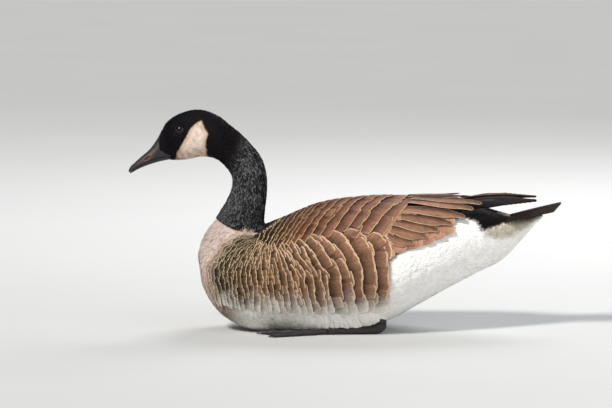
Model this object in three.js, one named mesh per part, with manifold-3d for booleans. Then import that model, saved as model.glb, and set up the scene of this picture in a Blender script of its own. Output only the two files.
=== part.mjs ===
// A life-size Canada goose as a still model: it rests on its belly, feet tucked under, neck hooked forward.
// Millimetres, +Z up. The bird faces -X, its left side is -Y, and it rests on the plane z = 0.

import * as THREE from "three";
import { mergeVertices } from "three/addons/utils/BufferGeometryUtils.js";
import Module from "manifold-3d";

const wasm = await Module();
wasm.setup();

// Sizes that drive the model
const GAP = 0.3; // air kept between two nodes that touch
const LEFT = -1;
const RIGHT = 1;

// The trunk from the breast to the last under-tail coverts: height of the back and of the keel, half width,
// and the level at which it is widest, at each place along the bird.
const TRUNK = [
  { x: -191, top: 97, keel: 93, half: 2, beam: 95 },
  { x: -189, top: 110, keel: 72, half: 26, beam: 93 },
  { x: -180, top: 120, keel: 45, half: 47, beam: 90 },
  { x: -160, top: 126, keel: 19, half: 66, beam: 88 },
  { x: -125, top: 129, keel: 0, half: 83, beam: 87 },
  { x: -85, top: 143, keel: -3, half: 93, beam: 87 },
  { x: -35, top: 163, keel: -4, half: 98, beam: 88 },
  { x: 15, top: 171, keel: -2, half: 98, beam: 90 },
  { x: 60, top: 173, keel: 14, half: 93, beam: 94 },
  { x: 100, top: 170, keel: 36, half: 84, beam: 103 },
  { x: 140, top: 166, keel: 58, half: 69, beam: 114 },
  { x: 175, top: 161, keel: 76, half: 51, beam: 124 },
  { x: 203, top: 153, keel: 90, half: 36, beam: 131 },
  { x: 228, top: 147, keel: 115, half: 23, beam: 137 },
  { x: 248, top: 148, keel: 138, half: 11, beam: 144 },
  { x: 258, top: 149, keel: 147, half: 2, beam: 148 },
];

// The folded wings as one sheet inlaid over the back, sunk at its front under the shoulder feathers and
// standing proud behind, with the height of its lower edge.
const WING_SHEET = [
  { x: 20, top: 166, keel: 3, half: 92.5, beam: 90, edge: 96 },
  { x: 40, top: 169.4, keel: 9, half: 92.8, beam: 92, edge: 99 },
  { x: 60, top: 172.6, keel: 15, half: 92.8, beam: 95, edge: 103 },
  { x: 95, top: 174, keel: 36, half: 87.5, beam: 102, edge: 117 },
  { x: 125, top: 173.5, keel: 50, half: 79, beam: 110, edge: 124 },
  { x: 150, top: 174, keel: 63, half: 68, beam: 117, edge: 141 },
  { x: 178, top: 174.5, keel: 80, half: 53, beam: 126, edge: 160 },
  { x: 215, top: 175, keel: 110, half: 34, beam: 140, edge: 165 },
];
const WING = { from: 40, to: 112, thick: 3.6, inner: [0.1, 0.16] }; // where the sheet begins and ends
const SECTION_RADIUS = 88; // mm of a feather's place around the body to one radian of the trunk's section

// Feathers, as vanes: share of the length against share of the width, from root to tip.
const VANE = [
  [0, 0.55],
  [0.42, 1],
  [0.83, 0.84],
  [1, 0.3],
];
const BODY_VANE = { long: 52, wide: 36, thick: 1.1, lift: [-2.4, 3.2], tilt: 0.085 };
const BACK_TIERS = { from: -96, pitch: 29, rows: 5, across: 28, turn: 0.1 };
const FLANK_TIERS = { from: -152, to: 2, pitch: 30.5, rise: 26, turn: -0.08 };
const COVERT_VANE = { long: 36, wide: 21, thick: 1, lift: [-0.7, 2.2], tilt: 0.1 };
const TERTIAL_VANE = { wide: 18, thick: 1, lift: [-0.6, 2.4], tilt: 0.15 };
// Long inner flight feathers, from the lowest up: tip along the bird, heights of tip and root, vane length.
const TERTIALS = [
  { x: 89, z: 120, rootZ: 131, long: 36 },
  { x: 105, z: 128, rootZ: 139, long: 46 },
  { x: 121, z: 135, rootZ: 147, long: 56 },
  { x: 138, z: 142.5, rootZ: 154, long: 66 },
  { x: 155, z: 150, rootZ: 162, long: 78 },
  { x: 167, z: 158, rootZ: 170, long: 86 },
  { x: 178, z: 164.5, rootZ: 172.6, long: 92 },
];
// Long outer flight feathers: where the lowest begins and ends, and the step to each one above it.
const PRIMARIES = {
  root: { x: 143, y: 27, z: 162.3 },
  rootStep: { x: 1.2, y: -1.2, z: 0.9 },
  tip: { x: 214, y: 16, z: 166 },
  tipStep: { x: 7, y: -2.3, z: 1.25 },
  over: 7, // the right wing's tip lies this much higher than the left's
  count: 6,
  wide: 12.5,
  thick: 0.85,
  tilt: -0.4,
};
const RECTRICES = {
  count: 18,
  root: [172, 136.5],
  tip: [281, 166],
  spread: 4.5,
  splay: 1.9,
  drop: 0.98,
  short: 1.5,
};
const RECTRIX = { wide: 15, thick: 0.62 };
const RUMP_VANE = { long: 28, wide: 22, thick: 1, lift: [-2.6, 2.4], tilt: 0.05 };
const RUMP_FEATHERS = [[138, 50], [140, 66], [157, 46]]; // roots: along the bird, and mm round from the top
const UNDERTAIL = { from: 150, to: 200, pitch: 33, long: 48, wide: 28, thick: 1, lift: [-3, 1.8] };

// Head and neck from the base of the bill down into the breast: the upper and the lower edge in the side
// view, and half the width.
const NECK = [
  { topX: -240.5, topZ: 256, lowX: -229, lowZ: 221, half: 11.5 },
  { topX: -231, topZ: 271, lowX: -219.5, lowZ: 220.7, half: 16.5 },
  { topX: -219, topZ: 279.5, lowX: -210, lowZ: 221.2, half: 19.5 },
  { topX: -205, topZ: 285, lowX: -200, lowZ: 222.6, half: 21.3 },
  { topX: -189.5, topZ: 286.9, lowX: -190, lowZ: 225.2, half: 21.8 },
  { topX: -175, topZ: 283.6, lowX: -179, lowZ: 225.1, half: 21 },
  { topX: -161.5, topZ: 276.6, lowX: -169.5, lowZ: 223, half: 20 },
  { topX: -148, topZ: 265.4, lowX: -161.5, lowZ: 218.6, half: 19.5 },
  { topX: -134.5, topZ: 254.5, lowX: -155.5, lowZ: 212.5, half: 19.6 },
  { topX: -121, topZ: 240.5, lowX: -150.3, lowZ: 206.3, half: 19.8 },
  { topX: -110, topZ: 226.5, lowX: -147, lowZ: 199.5, half: 20.2 },
  { topX: -103.5, topZ: 210.5, lowX: -146.2, lowZ: 192.5, half: 20.8 },
  { topX: -101.2, topZ: 193.5, lowX: -147.1, lowZ: 185, half: 21.6 },
  { topX: -101.6, topZ: 177.5, lowX: -150.5, lowZ: 175.5, half: 23 },
  { topX: -103, topZ: 163.5, lowX: -155.7, lowZ: 164.8, half: 25.5 },
  { topX: -104.3, topZ: 150.5, lowX: -161.8, lowZ: 155.2, half: 29 },
  { topX: -105.6, topZ: 136.5, lowX: -168.5, lowZ: 145, half: 34.5 },
  { topX: -109, topZ: 122, lowX: -175.5, lowZ: 134.7, half: 41 },
  { topX: -114, topZ: 108, lowX: -182, lowZ: 126, half: 48 },
  { topX: -120, topZ: 92, lowX: -186, lowZ: 115, half: 55 },
];
const NECK_BREAKS = [6, 9.5, 13]; // rows of NECK at which head, upper, middle and lower neck part
const NECK_SEAM = 0.013; // share of a row left open on each side of such a break
const CROWN_NARROWING = 0.14; // share by which the crown is narrower and the jaw wider than the middle
const COLLAR = { x: -128.7, z: 178, radius: 50.5 }; // the arc in the side view where black meets the breast

// The bill: places along its axis from the base, and above (+) or below (-) the axis.
const BILL_BASE = { x: -236.6, z: 237.9 };
const BILL_DROP = 36; // degrees below the horizon
const BILL = [
  { along: -9, culmen: 17, chin: -24, half: 13 },
  { along: 1, culmen: 12.3, chin: -19, half: 12 },
  { along: 15.5, culmen: 7.6, chin: -12.4, half: 11.5 },
  { along: 32.6, culmen: 6, chin: -6.8, half: 10.4 },
  { along: 45, culmen: 4.5, chin: -4.2, half: 8.6 },
  { along: 51.5, culmen: 2.6, chin: -3.6, half: 6.2 },
  { along: 54.6, culmen: 0.4, chin: -2.6, half: 3 },
];
const MOUTH = [
  { along: 57, above: -1.6 },
  { along: 38.7, above: -2.3 },
  { along: 23.6, above: -3.8 },
  { along: 10.8, above: -8.2 },
  { along: 0, above: -14.6 },
  { along: -12, above: -21 },
];
const MOUTH_GAP = 0.5;
const LOWER_BILL_NARROWER = 0.88;
const NOSTRIL = { along: 22, above: 0.4, long: 9.5, tall: 3.6, deep: 3.2 };

const EYE = { x: -214.5, z: 262.6, radius: 6.2, off: 12.4 };
const LID = { radius: 6.1, tube: 1.0, off: 15.8 };

// The white strap from cheek to cheek under the throat, in the side view.
const STRAP = [
  [-187.5, 273.5],
  [-199.5, 264],
  [-204, 256],
  [-209, 247],
  [-214.5, 236.5],
  [-218.5, 228.5],
  [-217, 216],
  [-181, 216],
  [-180, 233],
  [-180.6, 246],
  [-178, 256.5],
  [-180.6, 261.5],
  [-184.5, 269.5],
];
const STRAP_DEEP = 3;

// Where the trunk parts into named regions, as lines in the side view.
const BREAST_LINE = [
  [-96, 175],
  [-99, 140],
  [-115, 119],
  [-145, 98],
  [-158, 70],
  [-155, 45],
  [-140, 20],
  [-128, -20],
];
const BACK_LINE = [
  [-118, 120.3],
  [-60, 128],
  [0, 136],
  [60, 138],
  [105, 136],
];
const BELLY_LINE = [
  [-151, 36],
  [-100, 32],
  [0, 30],
  [66, 34],
];
const VENT_LINE = [
  [105, 190],
  [103, 150],
  [105, 136],
  [80, 104],
  [66, 60],
  [62, -20],
];
const RUMP_LINE = [
  [102, 140],
  [140, 142],
  [176, 133],
  [214, 146],
  [222, 170],
];

const COVERT_LINE = [
  [178, 178],
  [184, 150],
  [196, 134],
];

const TAIL_BASE = { from: 168, to: 224, half: [27, 38], thick: [7, 3.6], arch: 0.2 }; // the root of the tail

// Feet: webbed, laid flat under the sides of the belly, with the shank folded back behind them.
const FOOT = { x: -24, y: 58, toe: 88, spread: 24, web: 3.4, toeHalf: 4.2 };
const SHANK = { reach: 68, radius: 6, heel: 8.5 };

// Finishes
const finish = (color, roughness) => new THREE.MeshStandardMaterial({ color, roughness, metalness: 0 });
const BLACK_PLUMAGE = finish(0x1d1c1f, 0.85);
const WHITE_PLUMAGE = finish(0xece7de, 0.9);
const BREAST_PLUMAGE = finish(0xcab8ac, 0.9);
const BROWN_PLUMAGE = finish(0x6e4d3d, 0.85);
const FLANK_PLUMAGE = finish(0x8f7260, 0.88);
const WING_PLUMAGE = finish(0x8c6954, 0.85);
const TAIL_PLUMAGE = finish(0x281d19, 0.75);
const BILL_HORN = finish(0x3b3535, 0.5);
const EYE_SURFACE = finish(0x120b08, 0.08);
const WEB_SKIN = finish(0x2f2b2a, 0.6);

// A closed body of three.js geometry as a solid, turned right side out.
function solid(geometry) {
  const bare = geometry.clone();
  for (const name of Object.keys(bare.attributes)) if (name !== "position") bare.deleteAttribute(name);
  const merged = mergeVertices(bare, 1e-4);
  const vertProperties = merged.attributes.position.array;
  const triVerts = new Uint32Array(merged.index.array);
  const made = new wasm.Manifold(new wasm.Mesh({ numProp: 3, vertProperties, triVerts }));
  if (made.volume() > 0) return made;
  for (let i = 0; i < triVerts.length; i += 3) {
    [triVerts[i + 1], triVerts[i + 2]] = [triVerts[i + 2], triVerts[i + 1]];
  }
  return new wasm.Manifold(new wasm.Mesh({ numProp: 3, vertProperties, triVerts }));
}

// A geometry from a list of points and a list of triangles.
function meshed(points, faces) {
  const geometry = new THREE.BufferGeometry();
  const numbers = points.flatMap((p) => [p.x, p.y, p.z]);
  geometry.setAttribute("position", new THREE.Float32BufferAttribute(numbers, 3));
  geometry.setIndex(faces.flat());
  return geometry;
}

// A closed skin over rings of equal, even count, each end closed by a strip between the ring's two halves.
function loft(rings) {
  const sides = rings[0].length;
  const faces = [];
  for (let k = 0; k + 1 < rings.length; k++) {
    for (let j = 0; j < sides; j++) {
      const a = k * sides + j;
      const b = k * sides + ((j + 1) % sides);
      faces.push([a, b, b + sides], [a, b + sides, a + sides]);
    }
  }
  const end = (rings.length - 1) * sides;
  for (let j = 0; j + 1 < sides / 2; j++) {
    const [a, b, c, d] = [j, j + 1, sides - 2 - j, sides - 1 - j];
    faces.push([c, b, a], [d, c, a], [end + a, end + b, end + c], [end + a, end + c, end + d]);
  }
  return solid(meshed(rings.flat(), faces));
}

// The named sizes of a list of rows at a fractional row number, by a smooth curve through the rows.
function rowAt(rows, u) {
  const k = Math.min(Math.max(Math.floor(u), 0), rows.length - 2);
  const t = u - k;
  const near = (i) => rows[Math.min(Math.max(i, 0), rows.length - 1)];
  const [before, from, to, after] = [k - 1, k, k + 1, k + 2].map(near);
  const found = {};
  for (const key of Object.keys(from)) {
    const [a, b, c, d] = [before[key], from[key], to[key], after[key]];
    const [bend, twist] = [2 * a - 5 * b + 4 * c - d, 3 * b - a - 3 * c + d];
    found[key] = 0.5 * (2 * b + (c - a) * t + bend * t * t + twist * t ** 3);
  }
  return found;
}

// The fractional row number at which a list of rows reaches x.
function rowOf(rows, x) {
  let [low, high] = [0, rows.length - 1];
  for (let i = 0; i < 24; i++) {
    const middle = (low + high) / 2;
    if (rowAt(rows, middle).x < x) low = middle;
    else high = middle;
  }
  return (low + high) / 2;
}

// A point of a trunk-like body: angle 0 is the back, a quarter turn the widest level, half a turn the keel.
function hullPoint(rows, u, angle) {
  const row = rowAt(rows, u);
  const [s, c] = [Math.sin(angle), Math.cos(angle)];
  const round = (value, power) => Math.sign(value) * Math.abs(value) ** power;
  const rise = c > 0 ? row.top - row.beam : row.beam - row.keel;
  return new THREE.Vector3(row.x, Math.max(row.half, 0.5) * round(s, 0.94), row.beam + rise * round(c, 0.94));
}

// The same point moved off the surface by lift.
function hullLifted(rows, u, angle, lift) {
  const at = hullPoint(rows, u, angle);
  if (!lift) return at;
  const alongX = hullPoint(rows, u + 0.02, angle).sub(hullPoint(rows, u - 0.02, angle));
  const around = hullPoint(rows, u, angle + 0.02).sub(hullPoint(rows, u, angle - 0.02));
  return at.addScaledVector(alongX.cross(around).normalize(), lift);
}

// A whole trunk-like body.
function hull(rows, steps, sides, lift = 0) {
  const last = rows.length - 1;
  return loft(
    Array.from({ length: steps + 1 }, (_, k) =>
      Array.from({ length: sides }, (_, j) =>
        hullLifted(rows, (k / steps) * last, (2 * Math.PI * j) / sides, lift),
      ),
    ),
  );
}

// The angle at which a trunk-like body's section reaches a height.
function angleAt(rows, x, z) {
  const row = rowAt(rows, rowOf(rows, x));
  const rise = (z - row.beam) / (z > row.beam ? row.top - row.beam : row.beam - row.keel);
  return Math.acos(Math.sign(rise) * Math.min(Math.abs(rise), 0.985) ** (1 / 0.94));
}

// A random number from 0 to 1, the same on every run.
let drawn = 7;
function draw() {
  drawn = (drawn * 48271) % 2147483647;
  return drawn / 2147483647;
}
const vary = (size, share) => size * (1 + share * (2 * draw() - 1));

// Where a feather lies over a trunk-like body: mm along from its root, mm across, and mm off the surface.
function overHull(rows, side, x, arc, turn) {
  const [c, s] = [Math.cos(turn), Math.sin(turn)];
  return (along, across, lift) => {
    const u = rowOf(rows, x + along * c - across * s);
    return hullLifted(rows, u, (side * (arc + along * s + across * c)) / SECTION_RADIUS, lift);
  };
}

// Where a straight feather lies between two points, bowed up or down in the middle.
function between(root, tip, bow = 0) {
  const line = new THREE.Vector3(...tip).sub(new THREE.Vector3(...root));
  const long = line.length();
  line.normalize();
  const across = new THREE.Vector3(0, 1, 0).addScaledVector(line, -line.y).normalize();
  const up = new THREE.Vector3().crossVectors(line, across);
  return (along, beside, lift) => {
    const t = along / long;
    const at = new THREE.Vector3(...root).addScaledVector(line, along).addScaledVector(across, beside);
    return at.addScaledVector(up, lift + bow * 4 * t * (1 - t));
  };
}

// One feather's vane as a thin closed blade, grown by pad on every side.
function vane({ place, long, wide, thick, lift, tilt }, pad = 0) {
  const rings = VANE.map(([t, w], k) => {
    const along = long * t + (k === 0 ? -pad : k === VANE.length - 1 ? pad : 0);
    const half = (wide / 2) * w + pad;
    const rise = lift[0] + (lift[1] - lift[0]) * t;
    const deep = thick * (1 - 0.3 * t);
    const [left, right] = [rise - tilt * half, rise + tilt * half];
    return [
      place(along, -half, left + pad),
      place(along, half, right + pad),
      place(along, half, right - deep - pad),
      place(along, -half, left - deep - pad),
    ];
  });
  const faces = [];
  for (let a = 0; a + 4 < rings.length * 4; a += 4) {
    faces.push([a, a + 1, a + 5], [a, a + 5, a + 4]);
    faces.push([a + 1, a + 2, a + 6], [a + 1, a + 6, a + 5]);
    faces.push([a + 2, a + 3, a + 6], [a + 3, a + 7, a + 6]);
    faces.push([a + 3, a, a + 4], [a + 3, a + 4, a + 7]);
  }
  const end = (rings.length - 1) * 4;
  faces.push([1, 0, 3], [1, 3, 2], [end, end + 1, end + 3], [end + 1, end + 2, end + 3]);
  return solid(meshed(rings.flat(), faces));
}
const vanes = (feathers, pad = 0) => feathers.map((feather) => vane(feather, pad));

// A point of the head or neck: angle 0 is the upper edge, half a turn the lower edge.
function neckPoint(u, angle) {
  const row = rowAt(NECK, u);
  const c = Math.cos(angle);
  const share = (value) => Math.min(1, Math.max(0, value));
  const narrowing = CROWN_NARROWING * share(u / 1.5) * share((8 - u) / 3);
  return new THREE.Vector3(
    (row.topX + row.lowX) / 2 + ((row.topX - row.lowX) / 2) * c,
    row.half * Math.sin(angle) * (1 - narrowing * c),
    (row.topZ + row.lowZ) / 2 + ((row.topZ - row.lowZ) / 2) * c,
  );
}

// The head and neck between two fractional rows, grown by lift on every side.
function neckBody(from, to, steps, sides, lift = 0) {
  return loft(
    Array.from({ length: steps + 1 }, (_, k) => {
      const u = from + ((to - from) * k) / steps;
      const outward = k === 0 ? -1 : k === steps ? 1 : 0;
      const before = rowAt(NECK, u - 0.02);
      const after = rowAt(NECK, u + 0.02);
      const along = new THREE.Vector3(
        after.topX + after.lowX - before.topX - before.lowX,
        0,
        after.topZ + after.lowZ - before.topZ - before.lowZ,
      );
      along.normalize();
      return Array.from({ length: sides }, (_, j) => {
        const angle = (2 * Math.PI * j) / sides;
        const at = neckPoint(u, angle);
        if (!lift) return at;
        const lengthwise = neckPoint(u + 0.02, angle).sub(neckPoint(u - 0.02, angle));
        const around = neckPoint(u, angle + 0.02).sub(neckPoint(u, angle - 0.02));
        const normal = around.cross(lengthwise).normalize();
        if (normal.dot(at.clone().sub(neckPoint(u, angle + Math.PI))) < 0) normal.negate();
        return at.addScaledVector(normal, lift).addScaledVector(along, outward * lift);
      });
    }),
  );
}

// A slab across the bird whose outline is drawn in the side view.
function sideSlab(outline, from = -200, to = 200) {
  const shape = new THREE.Shape(outline.map(([x, z]) => new THREE.Vector2(x, z)));
  const slab = new THREE.ExtrudeGeometry(shape, { depth: to - from, bevelEnabled: false, curveSegments: 8 });
  return solid(slab.rotateX(Math.PI / 2).translate(0, to, 0));
}

// A thin blade across the bird along a smooth line of the side view, which parts what it crosses.
function blade(line, from = -200, to = 200, steps = 8) {
  const along = line.map(([x, z]) => new THREE.Vector3(x, 0, z));
  const curve = new THREE.CatmullRomCurve3(along, false, "catmullrom", 0.3);
  const [above, below] = [[], []];
  for (const t of Array.from({ length: steps + 1 }, (_, k) => k / steps)) {
    const at = curve.getPoint(t);
    const along = curve.getTangent(t);
    above.push([at.x - (along.z * GAP) / 2, at.z + (along.x * GAP) / 2]);
    below.unshift([at.x + (along.z * GAP) / 2, at.z - (along.x * GAP) / 2]);
  }
  return sideSlab([...above, ...below], from, to);
}

// A smooth closed outline through points listed anticlockwise, grown by a width.
function smoothRound(outline, grow, count = 18) {
  const points = outline.map(([x, z]) => new THREE.Vector3(x, 0, z));
  const curve = new THREE.CatmullRomCurve3(points, true, "catmullrom", 0.5);
  return Array.from({ length: count }, (_, k) => {
    const at = curve.getPoint(k / count);
    const along = curve.getTangent(k / count);
    return [at.x + along.z * grow, at.z - along.x * grow];
  });
}

const union = (solids) => wasm.Manifold.union(solids);

// The largest closed body of a solid, without the hollows sealed in it.
function largest(made) {
  return made.decompose().reduce((best, body) => (body.volume() > best.volume() ? body : best));
}

// The body of a list that holds a point, found by the volume it shares with a small ball there.
function holding(bodies, x, y, z) {
  const probe = solid(new THREE.SphereGeometry(1.5, 8, 6).translate(x, y, z));
  return bodies.reduce((best, body) =>
    body.intersect(probe).volume() > best.intersect(probe).volume() ? body : best,
  );
}

// Trunk, parted by blades into named regions
const trunkSteps = 16;
const trunkSides = 18;
const floorCut = solid(new THREE.BoxGeometry(800, 400, 60).translate(0, 0, -30));
const wholeTrunk = (lift = 0) => hull(TRUNK, trunkSteps, trunkSides, lift);
const wholeNeck = (lift = 0) => neckBody(NECK_BREAKS[2] + NECK_SEAM, NECK.length - 1, 8, 18, lift);

function collarCut(grow) {
  const disc = new THREE.CylinderGeometry(COLLAR.radius + grow, COLLAR.radius + grow, 160, 30);
  return solid(disc.translate(COLLAR.x, 0, COLLAR.z));
}

const footPlaces = [LEFT, RIGHT];

// A webbed foot: three toes fanned forward, the web between them, and a short hind toe.
function foot(side, pad = 0) {
  const tips = [-1, 0, 1].map((k) => {
    const length = FOOT.toe * (k === 0 ? 1 : k === side ? 0.9 : 0.8) + pad;
    const turn = (k * FOOT.spread * Math.PI) / 180;
    return [FOOT.x - length * Math.cos(turn), side * FOOT.y + length * Math.sin(turn)];
  });
  const start = new THREE.Vector3(FOOT.x, side * FOOT.y, 0);
  const toe = ([x, y]) => {
    const line = new THREE.LineCurve3(start, new THREE.Vector3(x, y, 0));
    const stations = [0, 0.36, 0.68, 0.93, 1];
    const swell = [1, 0.95, 0.85, 0.6, 0.25];
    return loft(
      stations.map((t, k) => {
        const at = line.getPoint(t);
        const half = FOOT.toeHalf * swell[k] + pad;
        const across = new THREE.Vector2(y - side * FOOT.y, FOOT.x - x).normalize();
        return Array.from({ length: 6 }, (_, j) => {
          const angle = (Math.PI * j) / 5;
          const out = half * Math.cos(angle);
          const up = -pad + (half * 1.5 + pad) * Math.sin(angle);
          return new THREE.Vector3(at.x + across.x * out, at.y + across.y * out, up);
        });
      }),
    );
  };
  const edge = [];
  for (let k = 0; k < 2; k++) {
    for (const t of [0, 0.33, 0.67]) {
      const bow = 1 - 0.42 * t * (1 - t);
      const x = tips[k][0] + (tips[k + 1][0] - tips[k][0]) * t;
      const y = tips[k][1] + (tips[k + 1][1] - tips[k][1]) * t;
      edge.push([FOOT.x + (x - FOOT.x) * bow * 0.95, side * FOOT.y + (y - side * FOOT.y) * bow * 0.95]);
    }
  }
  edge.push([FOOT.x + (tips[2][0] - FOOT.x) * 0.95, side * FOOT.y + (tips[2][1] - side * FOOT.y) * 0.95]);
  const corners = edge.map(([x, y]) => new THREE.Vector2(x - pad, y));
  const outline = new THREE.Shape([new THREE.Vector2(FOOT.x + pad, side * FOOT.y), ...corners]);
  const web = new THREE.ExtrudeGeometry(outline, { depth: FOOT.web + pad, bevelEnabled: false });
  return union([...tips.map(toe), solid(web)]);
}

// The shank laid back from the foot to the heel, with the feathered thigh rising from it into the belly.
function shank(side, pad = 0) {
  const line = [
    { x: FOOT.x + 2, y: FOOT.y, z: SHANK.radius, r: SHANK.radius * 1.15 },
    { x: FOOT.x + 20, y: FOOT.y - 1, z: SHANK.radius * 0.9, r: SHANK.radius * 0.86 },
    { x: FOOT.x + 60, y: FOOT.y - 4, z: SHANK.radius, r: SHANK.radius * 0.86 },
    { x: FOOT.x + SHANK.reach - 4, y: FOOT.y - 6, z: SHANK.heel * 0.95, r: SHANK.heel },
    { x: FOOT.x + SHANK.reach + 2, y: FOOT.y - 7, z: SHANK.heel * 1.6, r: SHANK.heel * 0.95 },
    { x: FOOT.x + SHANK.reach - 8, y: FOOT.y - 8, z: SHANK.heel * 3.4, r: SHANK.heel * 1.2 },
    { x: FOOT.x + SHANK.reach - 26, y: FOOT.y - 10, z: SHANK.heel * 5.2, r: SHANK.heel * 1.7 },
  ];
  const curve = new THREE.CatmullRomCurve3(line.map((p) => new THREE.Vector3(p.x, side * p.y, p.z)));
  const steps = 9;
  return loft(
    Array.from({ length: steps + 1 }, (_, k) => {
      const t = k / steps;
      const at = curve.getPoint(t);
      const along = curve.getTangent(t);
      const sideways = new THREE.Vector3(0, 1, 0).addScaledVector(along, -along.y).normalize();
      const upward = new THREE.Vector3().crossVectors(along, sideways);
      const r = rowAt(line, t * (line.length - 1)).r + pad;
      return Array.from({ length: 8 }, (_, j) => {
        const angle = (2 * Math.PI * j) / 8;
        const out = sideways.clone().multiplyScalar(r * Math.cos(angle));
        return out.addScaledVector(upward, r * Math.sin(angle)).add(at);
      });
    }),
  );
}

// The root of the tail: a flat, arched block inside the rump, out to where its feathers leave the body.
function tailBase(pad = 0) {
  const { from, to, half, thick } = TAIL_BASE;
  return loft(
    [0, 1].map((t) =>
      Array.from({ length: 12 }, (_, j) => {
        const angle = (2 * Math.PI * j) / 12;
        const y = (half[t] + pad) * Math.sign(Math.cos(angle)) * Math.abs(Math.cos(angle)) ** 0.6;
        const x = from + (to - from) * t + (t ? pad : -pad);
        const square = Math.sign(Math.sin(angle)) * Math.abs(Math.sin(angle)) ** 0.45;
        const slope = (RECTRICES.tip[1] - RECTRICES.root[1]) / (RECTRICES.tip[0] - RECTRICES.root[0]);
        const z = RECTRICES.root[1] + (x - RECTRICES.root[0]) * slope;
        return new THREE.Vector3(x, y, z + (thick[t] / 2 + pad) * square - TAIL_BASE.arch * Math.abs(y));
      }),
    ),
  );
}

// Tail feathers, the middle pair on top.
const rectrices = Array.from({ length: RECTRICES.count }, (_, k) => {
  const place = k - (RECTRICES.count - 1) / 2;
  const out = Math.abs(place);
  const [rootX, rootZ] = RECTRICES.root;
  const [tipX, tipZ] = RECTRICES.tip;
  const root = [rootX, place * RECTRICES.splay, rootZ + 1.2 - out * 0.6];
  const shorter = RECTRICES.short * Math.max(0, out - 1.5);
  const tip = [tipX - shorter, place * RECTRICES.spread, tipZ - out * RECTRICES.drop];
  const long = new THREE.Vector3(...tip).distanceTo(new THREE.Vector3(...root));
  return { place: between(root, tip), long, ...RECTRIX, lift: [0, 0], tilt: -0.02 * Math.sign(place) };
});

// Primaries: a stack of long narrow feathers each side, the right wing's tip over the left's.
function primaryFeathers(side) {
  const { root, rootStep, tip, tipStep, over, count, wide, thick, tilt } = PRIMARIES;
  return Array.from({ length: count }, (_, k) => {
    const from = [root.x + k * rootStep.x, side * (root.y + k * rootStep.y), root.z + k * rootStep.z];
    const higher = side === RIGHT ? over : 0;
    const to = [tip.x + k * tipStep.x, side * (tip.y + k * tipStep.y), tip.z + k * tipStep.z + higher];
    const long = new THREE.Vector3(...to).distanceTo(new THREE.Vector3(...from));
    return { place: between(from, to), long, wide, thick, lift: [0, 0], tilt: side * tilt };
  });
}

// The block in which the roots of one wing's primaries meet, hidden under the longer inner feathers.
function primaryBase(side, pad = 0) {
  const { root, rootStep, count } = PRIMARIES;
  const shape = new THREE.BoxGeometry(17 + 2 * pad, 15 + 2 * pad, count * rootStep.z + 1.5 + 2 * pad);
  const middle = root.z + ((count - 1) * rootStep.z) / 2 - 0.5;
  return solid(shape.translate(root.x + 7, side * (root.y - 4), middle));
}

const feet = Object.fromEntries(footPlaces.map((side) => [side, foot(side)]));
const footGaps = union(footPlaces.flatMap((side) => [foot(side, GAP), shank(side, GAP)]));

// Wings: a sheet over the back and the upper flanks, in which the coverts and the inner flight feathers root.
function wingSheet(side, pad = 0, above = pad) {
  const across = 5;
  const steps = 4;
  const outer = [];
  const inner = [];
  for (let k = 0; k <= steps; k++) {
    const x = WING.from - pad + ((WING.to - WING.from + 2 * pad) * k) / steps;
    const u = rowOf(WING_SHEET, x);
    const last = angleAt(WING_SHEET, x, rowAt(WING_SHEET, u).edge) + pad / 60;
    const first = WING.inner[0] + ((WING.inner[1] - WING.inner[0]) * k) / steps - pad / 60;
    const angles = Array.from({ length: across }, (_, j) => first + ((last - first) * j) / (across - 1));
    outer.push(angles.map((angle) => hullLifted(WING_SHEET, u, side * angle, above)));
    inner.push(angles.map((angle) => hullLifted(WING_SHEET, u, side * angle, -WING.thick - pad)).reverse());
  }
  return loft(outer.map((line, k) => [...line, ...inner[k]]));
}

function wingFeathers(side) {
  const feathers = [];
  TERTIALS.forEach(({ x, z, rootZ, long }) => {
    const arc = angleAt(WING_SHEET, x, z) * SECTION_RADIUS;
    const rootArc = angleAt(WING_SHEET, x - long, rootZ) * SECTION_RADIUS;
    const turn = Math.atan2(arc - rootArc, long);
    feathers.push({ place: overHull(WING_SHEET, side, x - long, rootArc, turn), long, ...TERTIAL_VANE });
  });
  for (const [x, heights] of [[53, [109, 121, 133]], [68, [118, 131]]]) {
    for (const z of heights) {
      const { long, wide, thick, lift, tilt } = COVERT_VANE;
      const arc = angleAt(WING_SHEET, x, z) * SECTION_RADIUS;
      const place = overHull(WING_SHEET, side, x, arc, -0.06);
      feathers.push({ place, long: vary(long, 0.05), wide, thick, lift, tilt });
    }
  }
  return feathers;
}

// Heights of the lines that part the trunk, at a place along the bird.
function lineAt(line, x) {
  const k = Math.min(Math.max(line.findIndex((p) => p[0] > x), 1), line.length - 1);
  const [[x0, z0], [x1, z1]] = [line[k - 1], line[k]];
  return z0 + ((z1 - z0) * (x - x0)) / (x1 - x0);
}

// Shoulder feathers over the back, in staggered tiers.
function backFeathers() {
  const { from, pitch, rows, across, turn } = BACK_TIERS;
  const { long, wide, thick, lift, tilt } = BODY_VANE;
  const feathers = [];
  for (let i = 0; i < rows; i++) {
    const x = from + pitch * i;
    for (let j = -5; j <= 5; j++) {
      const arc = Math.abs((j + (i % 2) / 2) * across);
      const side = j + (i % 2) / 2 < 0 ? LEFT : RIGHT;
      const at = hullPoint(TRUNK, rowOf(TRUNK, x), arc / SECTION_RADIUS);
      if (at.z < lineAt(BACK_LINE, x) + (i < 1 ? 5 : 13)) continue;
      feathers.push({
        place: overHull(TRUNK, side, x + 4 * draw(), arc, arc > 3 ? turn : 0),
        long: vary(long * (i > 2 ? 1.1 : 0.95), 0.06),
        wide: vary(wide, 0.05),
        thick,
        lift: i === rows - 1 ? [lift[0], lift[1] + 1.6] : lift,
        tilt: arc > 3 ? tilt : 0.04,
      });
    }
  }
  return feathers;
}

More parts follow.
